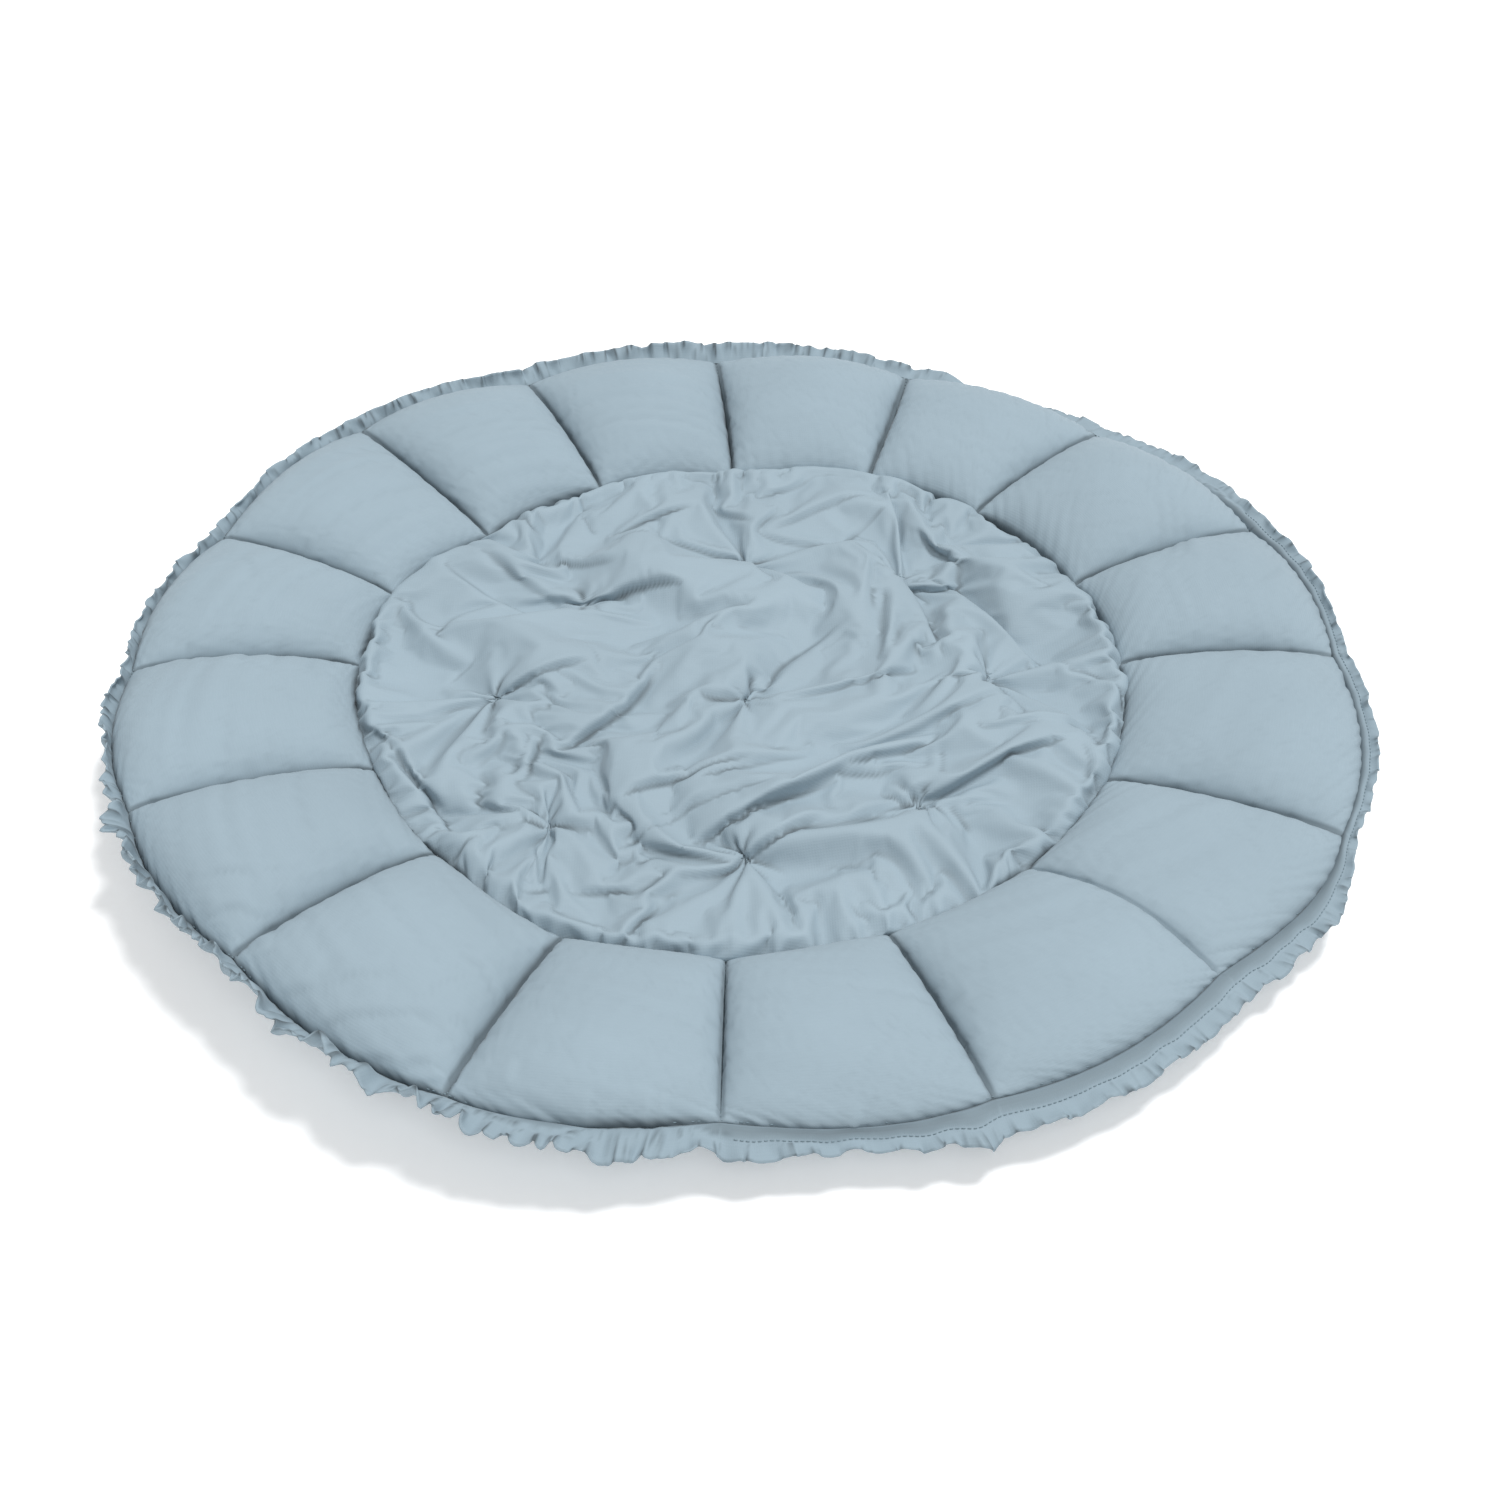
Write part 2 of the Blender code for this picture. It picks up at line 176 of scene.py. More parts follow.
# Folds of the middle's top cloth, measured from the middle of the panel as the ties are. Each runs from
# start to end, bowed to its left by bow. A rise above 0 is a ridge and below 0 a trough. It falls off over
# gentle on its left, and over steep on its right, where it ends in a crease below the cloth around it.
FOLD_GENTLE = 0.010
FOLD_STEEP = 0.006
Fold = collections.namedtuple(
    "Fold",
    "start_x start_y end_x end_y rise bow gentle steep",
    defaults=(0.0, FOLD_GENTLE, FOLD_STEEP),
)
FOLDS = (
    Fold(-0.106, 0.210, -0.046, 0.236, 0.004, gentle=0.012),
    Fold(-0.113, 0.195, -0.073, 0.197, 0.003),
    Fold(-0.061, 0.194, 0.011, 0.168, 0.005, gentle=0.014),
    Fold(0.018, 0.211, 0.011, 0.168, 0.003),
    Fold(0.018, 0.211, 0.036, 0.241, 0.003),
    Fold(-0.138, 0.241, -0.123, 0.208, -0.003),
    Fold(-0.189, 0.170, -0.150, 0.186, 0.003),
    Fold(-0.161, 0.175, -0.104, 0.156, 0.004),
    Fold(-0.252, 0.147, -0.170, 0.095, -0.004, bow=-0.004),
    Fold(-0.215, 0.165, -0.137, 0.098, 0.003),
    Fold(-0.132, 0.105, -0.049, 0.118, 0.007, bow=0.006, gentle=0.016),
    Fold(-0.147, 0.137, -0.130, 0.116, -0.002),
    Fold(-0.123, 0.079, -0.092, 0.076, 0.002),
    Fold(-0.139, 0.049, -0.109, 0.056, 0.002, bow=-0.003),
    Fold(-0.128, 0.034, -0.111, 0.008, 0.002, bow=0.003),
    Fold(-0.252, -0.045, -0.200, -0.024, 0.002),
    Fold(-0.200, -0.024, -0.126, 0.013, 0.005, gentle=0.013),
    Fold(-0.239, -0.017, -0.216, -0.012, 0.002),
    Fold(-0.245, 0.009, -0.222, 0.030, 0.003),
    Fold(-0.276, 0.103, -0.242, 0.072, -0.005, bow=-0.008, steep=0.008),
    Fold(-0.301, -0.051, -0.230, -0.148, 0.005, steep=0.008),
    Fold(-0.270, -0.108, -0.236, -0.159, -0.005, steep=0.007),
    Fold(-0.071, -0.003, -0.131, -0.092, -0.006, bow=0.006, gentle=0.012, steep=0.009),
    Fold(-0.151, -0.085, -0.169, -0.142, -0.004, bow=0.004, steep=0.008),
    Fold(-0.034, -0.026, 0.010, -0.029, 0.004, bow=-0.003, gentle=0.014),
    Fold(0.010, -0.029, 0.039, -0.039, 0.004, gentle=0.012),
    Fold(0.010, 0.001, 0.010, -0.029, -0.003),
    Fold(-0.092, -0.162, 0.038, -0.104, 0.006, bow=0.005, gentle=0.015),
    Fold(-0.030, -0.162, 0.038, -0.139, 0.004, gentle=0.012),
    Fold(-0.202, -0.148, -0.147, -0.183, 0.005, bow=-0.004, gentle=0.011),
    Fold(0.023, 0.211, 0.089, 0.200, 0.004, bow=-0.005, gentle=0.011),
    Fold(0.089, 0.200, 0.131, 0.244, 0.005, gentle=0.014),
    Fold(0.030, 0.214, 0.122, 0.265, 0.004, steep=0.007),
    Fold(0.025, 0.270, 0.068, 0.292, 0.003, bow=-0.003),
    Fold(-0.016, 0.250, 0.017, 0.224, 0.004),
    Fold(0.143, 0.255, 0.154, 0.179, -0.005, steep=0.007),
    Fold(0.173, 0.211, 0.204, 0.165, 0.006, gentle=0.016),
    Fold(0.204, 0.165, 0.262, 0.164, -0.006, bow=-0.006, gentle=0.012, steep=0.007),
    Fold(0.148, 0.140, 0.194, 0.136, 0.006, bow=-0.004, gentle=0.012),
    Fold(0.192, 0.137, 0.282, 0.013, -0.009, bow=-0.005, gentle=0.015, steep=0.009),
    Fold(0.118, 0.151, 0.107, 0.076, -0.005, steep=0.008),
    Fold(0.130, 0.113, 0.119, 0.032, 0.004, steep=0.007),
    Fold(0.148, 0.140, 0.165, 0.052, -0.004, steep=0.007),
    Fold(0.021, -0.014, 0.078, 0.067, -0.006, bow=0.010, gentle=0.013, steep=0.009),
    Fold(0.041, -0.031, 0.145, 0.013, 0.005, gentle=0.013),
    Fold(0.176, -0.012, 0.216, 0.001, 0.002, bow=-0.002),
    Fold(0.216, 0.001, 0.277, -0.007, -0.005, bow=-0.004, steep=0.008),
    Fold(0.154, -0.066, 0.220, -0.026, 0.005, bow=-0.003, gentle=0.014),
    Fold(0.284, 0.009, 0.328, -0.047, -0.006, bow=0.014, steep=0.008),
    Fold(0.272, 0.047, 0.317, 0.054, 0.003, bow=-0.004),
    Fold(-0.027, -0.138, 0.067, -0.092, 0.005, gentle=0.013),
    Fold(0.088, -0.123, 0.153, -0.089, 0.005, bow=-0.002, gentle=0.011),
    Fold(0.093, -0.130, 0.141, -0.119, 0.004),
    Fold(0.026, -0.165, 0.090, -0.127, 0.007, gentle=0.016, steep=0.007),
    Fold(0.092, -0.180, 0.160, -0.137, 0.008, gentle=0.016, steep=0.009),
    Fold(0.049, -0.198, 0.149, -0.160, 0.003),
    Fold(0.149, -0.160, 0.265, -0.090, 0.009, bow=0.002, gentle=0.022),
    Fold(0.201, -0.078, 0.292, -0.055, 0.005, bow=-0.003, steep=0.007),
    Fold(0.281, -0.092, 0.279, -0.145, 0.004, bow=0.005),
    Fold(-0.081, -0.202, -0.010, -0.148, 0.004),
    Fold(-0.021, -0.192, 0.079, -0.138, 0.008, gentle=0.017, steep=0.009),
    Fold(-0.060, -0.198, 0.010, -0.223, 0.005, gentle=0.014, steep=0.008),
    Fold(0.010, -0.223, 0.077, -0.180, 0.008, gentle=0.016),
    Fold(-0.050, -0.239, 0.010, -0.223, 0.004, bow=-0.003),
    Fold(-0.137, -0.208, -0.136, -0.247, 0.003),
    Fold(-0.165, -0.253, -0.136, -0.247, 0.003),
    Fold(-0.113, -0.249, -0.072, -0.249, 0.004),
    Fold(-0.067, -0.256, -0.048, -0.235, -0.004),
    Fold(-0.088, -0.316, -0.058, -0.268, 0.005),
    Fold(-0.111, -0.325, -0.096, -0.292, 0.005),
    Fold(0.001, -0.301, -0.001, -0.348, 0.005),
    Fold(-0.006, -0.275, 0.010, -0.223, -0.003),
    Fold(-0.245, -0.138, -0.225, -0.180, -0.005, steep=0.007),
    Fold(-0.229, -0.184, -0.211, -0.208, -0.004),
    Fold(0.177, -0.167, 0.190, -0.191, -0.003),
    Fold(0.158, -0.279, 0.216, -0.212, -0.004, bow=-0.006),
    Fold(0.104, -0.286, 0.130, -0.263, -0.005, bow=-0.004),
    Fold(0.115, -0.286, 0.116, -0.311, 0.004),
    Fold(0.167, -0.098, 0.167, -0.134, -0.004, steep=0.007),
)

# Fine pulls of the ring's cloth, most of them where its edges are gathered
PULL_GENTLE = 0.009
PULL_STEEP = 0.008
RING_PULLS = (
    Fold(-0.288, -0.398, -0.247, -0.392, 0.0012, bow=0.004),
    Fold(-0.303, -0.431, -0.245, -0.426, 0.0013, bow=0.004),
    Fold(-0.245, -0.426, -0.203, -0.429, 0.0011, bow=0.004),
    Fold(-0.374, -0.354, -0.338, -0.347, 0.0013, bow=0.004),
    Fold(-0.393, -0.322, -0.355, -0.317, 0.0013, bow=0.004),
    Fold(-0.365, -0.364, -0.336, -0.357, 0.0011),
    Fold(-0.232, -0.478, -0.199, -0.472, 0.0012),
    Fold(-0.238, -0.467, -0.203, -0.462, 0.0011, bow=0.004),
    Fold(-0.280, -0.456, -0.234, -0.460, 0.0012, bow=0.004),
    Fold(-0.404, -0.289, -0.355, -0.285, 0.0010, bow=0.004),
    Fold(-0.337, -0.402, -0.297, -0.400, 0.0011, bow=0.004),
    Fold(-0.261, -0.484, -0.226, -0.488, 0.0011, bow=0.004),
    Fold(-0.100, -0.522, -0.099, -0.493, 0.0014),
    Fold(-0.058, -0.522, -0.057, -0.488, 0.0014),
    Fold(-0.047, -0.521, -0.046, -0.491, 0.0014),
    Fold(-0.086, -0.519, -0.085, -0.500, 0.0011),
    Fold(0.082, -0.527, 0.088, -0.493, 0.0014),
    Fold(0.049, -0.528, 0.052, -0.508, 0.0012),
    Fold(0.057, -0.528, 0.060, -0.509, 0.0011),
    Fold(0.020, -0.527, 0.022, -0.508, 0.0011),
    Fold(0.126, -0.516, 0.125, -0.493, 0.0011),
    Fold(-0.467, -0.020, -0.471, 0.013, 0.0012),
    Fold(-0.452, -0.023, -0.455, 0.002, 0.0011),
    Fold(-0.418, -0.024, -0.421, 0.007, 0.0012),
    Fold(-0.394, -0.023, -0.396, 0.007, 0.0011),
    Fold(-0.364, -0.020, -0.364, 0.007, 0.0011),
    Fold(0.151, 0.272, 0.153, 0.225, 0.0013, bow=0.004),
    Fold(0.162, 0.268, 0.168, 0.218, 0.0013, bow=0.004),
    Fold(0.176, 0.258, 0.181, 0.209, 0.0013, bow=0.004),
    Fold(0.408, 0.238, 0.400, 0.153, 0.0013, bow=0.004),
    Fold(0.418, 0.235, 0.410, 0.149, 0.0013, bow=0.004),
    Fold(0.396, 0.230, 0.390, 0.161, 0.0011, bow=0.004),
    Fold(0.334, -0.398, 0.367, -0.388, 0.0014),
    Fold(0.290, -0.312, 0.316, -0.339, 0.0011, bow=0.004),
    Fold(-0.191, -0.364, -0.166, -0.395, 0.0010, bow=0.004),
    Fold(-0.155, -0.490, -0.152, -0.467, 0.0011),
    Fold(-0.178, 0.258, -0.148, 0.225, 0.0010, bow=0.004),
    Fold(-0.330, 0.309, -0.315, 0.275, 0.0010, bow=0.004),
    Fold(-0.432, 0.130, -0.415, 0.092, 0.0010, bow=0.004),
    Fold(0.494, 0.130, 0.463, 0.092, 0.0010, bow=0.004),
)

# Ruffle: a strip folded double, gathered and sewn into the rim seam
RUFFLE_THICKNESS = 0.0012
RUFFLE_WIDTH = 0.026
RUFFLE_STATIONS = 1760
RUFFLE_ROWS = 11
RUFFLE_LENGTH = 4.3
RUFFLE_GROWTH = 2.0
RUFFLE_GROWTH_FLAT = 1.5
RUFFLE_CALM = 0.5
RUFFLE_GAP = -0.0008
RUFFLE_SOFT_HOLD = 0.01
RUFFLE_BENDING = 0.2
RUFFLE_FRAMES = 14
RUFFLE_CAP = 0.014
RUFFLE_CRUMPLE = 0.009
RUFFLE_FINE = 0.003
RUFFLE_FALLS_OUT = 0.5
SCALLOP = 0.18
SCALLOP_LENGTH = 0.021
SCALLOP_SEED = 11.0
SLIDE = 0.006
SLIDE_LENGTH = 0.010
SLIDE_SEED = 17.0

# Folds of the gathered strip: how long each is along the rim, a seed, and how late they grow across the strip
Ripple = collections.namedtuple("Ripple", "length seed power")
BROAD_RIPPLE = Ripple(0.024, 0.3, 1.2)
NARROW_RIPPLE = Ripple(0.009, 2.9, 0.8)
FINE_RIPPLE = Ripple(0.0045, 6.1, 0.5)

# Where the strip has a smooth band along the rim and is gathered only past it
BAND_FROM = 50
BAND_TO = 206
BAND_FADE = 14
BAND_SHARE = 0.5
BAND_PUFF = 0.004
# How much the painted shade along the rim fades where the ruffle has its smooth band
BAND_RIM_SHADE_FADE = 0.8
BAND_HOLD = 0.5
TWIST_AZIMUTH = 187
TWIST_SPREAD = 5

# Thread
STITCH_SPACING = 0.0042
STITCH_LENGTH = 0.0032
THREAD_THICKNESS = 0.0009
STITCH_SEED = 7
SHORTEST_STITCH = 0.85
LONGEST_STITCH = 1.10
SEAM_ENDS = 0.02
SEAM_POINTS = 49
EDGE_POINTS = 30
RIM_INSET = -0.0010
PANEL_INSET = 0.0014
TIE_STITCH = 0.0035
TIE_TURN = 0.7
TIE_CROSS = 1.4
TOP_FROM = 0.01

# How the ruffle stands at places round the rim, how wide it is there, and how tall its broad folds are.
# Lean is 0 where it lies flat outwards and 90 where it stands up.
Lean = collections.namedtuple("Lean", "azimuth lean width folds")
LEANS = (
    Lean(0, 36, 0.025, 0.006),
    Lean(18, 26, 0.019, 0.005),
    Lean(30, -20, 0.018, 0.003),
    Lean(44, -5, 0.022, 0.004),
    Lean(56, 20, 0.021, 0.005),
    Lean(70, 40, 0.019, 0.005),
    Lean(84, 50, 0.013, 0.004),
    Lean(98, 34, 0.016, 0.005),
    Lean(112, 34, 0.012, 0.005),
    Lean(124, 10, 0.029, 0.006),
    Lean(136, 4, 0.030, 0.006),
    Lean(160, -4, 0.034, 0.007),
    Lean(170, -8, 0.019, 0.008),
    Lean(179, 0, 0.029, 0.011),
    Lean(188, 16, 0.033, 0.012),
    Lean(200, 48, 0.034, 0.014),
    Lean(213, 60, 0.035, 0.014),
    Lean(228, 66, 0.033, 0.013),
    Lean(240, 76, 0.029, 0.012),
    Lean(256, 78, 0.018, 0.006),
    Lean(276, 80, 0.012, 0.005),
    Lean(305, 74, 0.014, 0.005),
    Lean(335, 50, 0.020, 0.006),
)

# Painted shade in hollows and along seams: how sharply cloth bends into a hollow before shade is painted
# there, and where the painted shade is darkest
CREASE_SHADE_FROM = 0.05
CREASE_SHADE_TO = 0.40
SEAM_SHADE = 0.0026
RING_CREASE_SHADE = 0.35
MIDDLE_CREASE_SHADE = 1.8
RUFFLE_CREASE_SHADE = 2.4
CREASE_SHADE_TONE = 0.34

# The cotton as the cloth solver has it
CLOTH_QUALITY = 5
CLOTH_MASS = 0.2
CLOTH_STRETCH = 20
CLOTH_SHEAR = 6
CLOTH_DAMPING = 8
SEWN_STIFFNESS = 1.0

# The cotton as it looks: cloudy tone, slubs, threads, weave and crumple. Scales are waves for each metre.
PAD_COLOUR = (0.285, 0.365, 0.418)
RUFFLE_COLOUR = (0.262, 0.339, 0.390)
THREAD_COLOUR = (0.20, 0.27, 0.31)
SHEEN = 0.10
SHEEN_ROUGHNESS = 0.4
GLOSS = 0.25
CLOUD_SCALE = 9.0
CLOUD_DETAIL = 3.0
SLUB_SCALE = (60.0, 900.0, 1.0)
SLUB_DETAIL = 2.0
SLUB_SHARE = 0.4
TONE_START = 0.35
TONE_LOW = 0.95
TONE_HIGH = 1.05
THREAD_SCALE = 160.0
THREAD_STRAY = 0.6
WEAVE_STRENGTH = 0.25
WEAVE_DEPTH = 0.0003
CRUMPLE_SCALE = 70.0
CRUMPLE_DETAIL = 4.0
CRUMPLE_STRAY = 0.8
CRUMPLE_DEPTH = 0.002

# Floor and soft lights. A lamp's azimuth is where its light comes from.
FLOOR_SIZE = 30.0
FLOOR_WHITE = 0.86
FLOOR_GLOW = 0.25
STUDIO_LIGHT = 0.50
Lamp = collections.namedtuple("Lamp", "name azimuth elevation strength spread")
LAMPS = (
    Lamp("key", 62.0, 72.0, 2.4, 14.0),
    Lamp("fill", 172.0, 50.0, 0.60, 30.0),
)

# Camera, from the photograph's own view
LENS = 56.39
SENSOR = 36.0
CAMERA_ELEVATION = 40.121
CAMERA_DISTANCE = 1.9936
CAMERA_TARGET = (0.0067, -0.0518, 0.0)


def mix(low, high, share):
    return low + (high - low) * share


def bump(share):
    """0 at both ends, 1 halfway."""
    return 4 * share * (1 - share)


def ease(share):
    """0 to 1 with a level start and end."""
    return share * share * (3 - 2 * share)


# The ring's shape. Every argument may be an array.


def seam_column(column):
    return np.array([getattr(seam, column) for seam in SEAMS])


def between_seams(channel, across, column):
    values = seam_column(column)
    return mix(values[channel % CHANNELS], values[(channel + 1) % CHANNELS], across)


def ring_azimuth(channel, across, outward):
    turn = mix(
        between_seams(channel, across, "panel_turn"),
        between_seams(channel, across, "rim_turn"),
        outward,
    )
    return PITCH * (channel + across) + turn


def panel_radius(channel, across):
    return PANEL_RADIUS + between_seams(channel, ease(across), "panel_shift")


def rim_radius(channel, across):
    bulge = RIM_BULGE * np.sin(np.pi * across)
    return RIM_RADIUS + between_seams(channel, ease(across), "rim_shift") + bulge


def plan(azimuth, radius):
    """Where an azimuth and a radius round the panel's middle lie in X and Y."""
    angle = np.radians(azimuth)
    return PANEL_X + radius * np.sin(angle), PANEL_Y + radius * np.cos(angle)


def pinch(channel, across, outward):
    nearer = np.where(across < 0.5, channel, channel + 1) % CHANNELS
    depth = seam_column("depth")[nearer]
    return mix(depth, 1.0, (2 * outward - 1) ** 2)


def fullness(channel, across, outward):
    side = bump(across) ** ACROSS_POWER
    side = 1 - (1 - side) * pinch(channel, across, outward)
    return side * bump(outward) ** mix(PANEL_POWER, RIM_POWER, outward)


def seam_height(channel, across, outward):
    rim = between_seams(channel, across, "rim_height")
    return mix(PANEL_SEAM_HEIGHT, rim, outward) - SEAM_SAG * bump(outward)


def belly_roll(channel, across):
    return seam_column("belly")[channel % CHANNELS] * bump(across) ** ACROSS_POWER


def ring_points(channel, across, outward, side):
    """Points of the ring's skin. side is 1 on top, -1 below and 0 on an edge seam."""
    radius = mix(panel_radius(channel, across), rim_radius(channel, across), outward)
    rolled = belly_roll(channel, across) * outward**BELLY_ROLL_POWER
    radius = radius + np.where(side < 0, rolled, 0.0)
    x, y = plan(ring_azimuth(channel, across, outward), radius)
    seam = seam_height(channel, across, outward)
    full = fullness(channel, across, outward)
    fill = seam_column("fill")[channel % CHANNELS]
    top = seam + WEB / 2 + CROWN * fill * full
    below = np.maximum(0.0, seam - WEB / 2 - BELLY * full)
    z = np.where(side > 0, top, np.where(side < 0, below, seam))
    return np.stack([x, y, z], axis=-1)


# Cloth


def set_points(mesh, points):
    mesh.vertices.foreach_set("co", np.ascontiguousarray(points, np.float32).ravel())
    mesh.update()


def get_points(mesh):
    points = np.empty(len(mesh.vertices) * 3, np.float32)
    mesh.vertices.foreach_get("co", points)
    return points.reshape(-1, 3).astype(float)


def weight_group(piece, name, weights, levels=100):
    """A vertex group with these weights, in a few even levels."""
    group = piece.vertex_groups.new(name=name)
    level = np.round(np.clip(weights, 0, 1) * levels).astype(int)
    for step in range(1, levels + 1):
        group.add(np.nonzero(level == step)[0].tolist(), step / levels, "REPLACE")
    return group


def settle(piece, held, growth, bending, frames, cap, cut=None):
    """Lets the cloth solver move a piece.

    held is 1 where a point is sewn down and small where padding bears it. growth is how much larger the
    cloth is cut than the space that it fills, or cut is where its points lie in the cut cloth. cap is the
    furthest that a point moves."""
    start = get_points(piece.data)
    weight_group(piece, "held", held)
    cloth = piece.modifiers.new("cloth", "CLOTH")
    settings = cloth.settings
    settings.quality = CLOTH_QUALITY
    settings.mass = CLOTH_MASS
    settings.tension_stiffness = CLOTH_STRETCH
    settings.compression_stiffness = CLOTH_STRETCH
    settings.shear_stiffness = CLOTH_SHEAR
    settings.bending_stiffness = bending
    settings.tension_damping = CLOTH_DAMPING
    settings.compression_damping = CLOTH_DAMPING
    settings.shear_damping = CLOTH_DAMPING
    settings.vertex_group_mass = "held"
    settings.pin_stiffness = SEWN_STIFFNESS
    settings.shrink_min = -growth
    if cut is not None:
        piece.shape_key_add(name="lying")
        flat = piece.shape_key_add(name="cut")
        flat.data.foreach_set("co", np.ascontiguousarray(cut, np.float32).ravel())
        settings.rest_shape_key = flat
    settings.effector_weights.gravity = 0
    cloth.collision_settings.use_collision = False
    cloth.point_cache.frame_start = 1
    cloth.point_cache.frame_end = frames
    scene = bpy.context.scene
    for step in range(1, frames + 1):
        scene.frame_set(step)
    settled = piece.evaluated_get(bpy.context.evaluated_depsgraph_get())
    ended = get_points(settled.data)
    piece.modifiers.remove(cloth)
    piece.vertex_groups.clear()
    piece.shape_key_clear()
    scene.frame_set(1)
    moved = ended - start
    length = np.linalg.norm(moved, axis=1, keepdims=True)
    moved *= np.minimum(1.0, cap / np.maximum(length, 1e-9))
    set_points(piece.data, start + moved)


def edge_ends(mesh):
    """The two points of each edge, as two arrays."""
    pairs = np.empty(len(mesh.edges) * 2, np.int32)
    mesh.edges.foreach_get("vertices", pairs)
    return pairs.reshape(-1, 2).T


def soften(mesh, free, passes):
    """Eases each free point halfway to the middle of its neighbours. No fold stays as narrow as the mesh."""
    points = get_points(mesh)
    first, second = edge_ends(mesh)
    many = len(points)
    count = np.bincount(first, minlength=many) + np.bincount(second, minlength=many)
    for step in range(passes):
        total = [
            np.bincount(first, points[second, axis], many) + np.bincount(second, points[first, axis], many)
            for axis in range(3)
        ]
        middle = np.stack(total, axis=-1) / count[:, None]
        points = np.where(free[:, None], mix(points, middle, 0.5), points)
    set_points(mesh, points)


def noise_at(x, y, z=0.0):
    """Smooth noise from -1 to 1 at each point."""
    rows = np.stack(np.broadcast_arrays(x, y, z), axis=-1).reshape(-1, 3).tolist()
    return np.array([noise.noise(row) for row in rows])


def give_uv(mesh, across, along, whole=0.0):
    """A UV map in metres from each point's place in the cut cloth. Where a strip closes on itself at its
    whole length, its first points are read as its last ones too."""
    layer = mesh.uv_layers.new(name="cloth")
    corners = np.empty(len(mesh.loops), np.int32)
    mesh.loops.foreach_get("vertex_index", corners)
    starts = np.empty(len(mesh.polygons), np.int32)
    sizes = np.empty(len(mesh.polygons), np.int32)
    mesh.polygons.foreach_get("loop_start", starts)
    mesh.polygons.foreach_get("loop_total", sizes)
    face = np.repeat(np.arange(len(sizes)), sizes)
    here = across[corners]
    if whole:
        highest = np.maximum.reduceat(here, starts)[face]
        here = np.where(highest - here > whole / 2, here + whole, here)
    uv = np.stack([here, along[corners]], axis=-1).astype(np.float32)
    layer.data.foreach_set("uv", uv.ravel())


def closed_strip(columns, rows, tube):
    """A mesh of four-sided faces that runs round and closes on itself. A tube's rows close too. Its points
    are numbered along the rows first."""
    index = np.arange(columns * rows).reshape(columns, rows)
    after = np.roll(index, -1, axis=0)
    corners = [index, np.roll(index, -1, axis=1), np.roll(after, -1, axis=1), after]
    faces = np.stack(corners, axis=-1)
    if not tube:
        faces = faces[:, :-1]
    mesh = bpy.data.meshes.new("strip")
    points = np.zeros((columns * rows, 3)).tolist()
    mesh.from_pydata(points, [], faces.reshape(-1, 4).tolist())
    return mesh


def new_piece(name, mesh, material):
    mesh.name = name
    mesh.materials.clear()
    mesh.materials.append(material)
    mesh.shade_smooth()
    piece = bpy.data.objects.new(name, mesh)
    bpy.context.scene.collection.objects.link(piece)
    return piece


def vertex_normals(mesh):
    normals = np.empty(len(mesh.vertices) * 3, np.float32)
    mesh.vertices.foreach_get("normal", normals)
    return normals.reshape(-1, 3).astype(float)


def paint_crease_shade(mesh, sewn=0.0, strength=1.0):
    """Paints shade into the cloth's colour: keeps how deep each point lies in a hollow, as painted shade, 0
    on a flat or a crest and up to
    1. sewn is the least painted shade that a point gets, 1 along a seam, where shade is painted too."""
    points = get_points(mesh)
    normals = vertex_normals(mesh)
    first, second = edge_ends(mesh)
    apart = points[second] - points[first]
    length = np.linalg.norm(apart, axis=1)
    many = len(points)
    rise = np.bincount(first, (apart * normals[first]).sum(axis=1), many)
    rise -= np.bincount(second, (apart * normals[second]).sum(axis=1), many)
    total = np.bincount(first, length, many) + np.bincount(second, length, many)
    hollow = rise / np.maximum(total, 1e-9)
    hollow_shade = np.clip(strength * (hollow - CREASE_SHADE_FROM) / (CREASE_SHADE_TO - CREASE_SHADE_FROM), 0, 1)
    layer = mesh.attributes.new("crease_shade", "FLOAT", "POINT")
    layer.data.foreach_set("value", np.maximum(hollow_shade, sewn).astype(np.float32))


# Ring


def gathered(gather, along, away, drift=0.0):
    """How high small gathers stand at a distance along a sewn line and a distance away from it."""
    wave = noise_at(along / gather.length, away / gather.reach, gather.seed + drift)
    return gather.rise * np.exp(-away / gather.fade) * wave


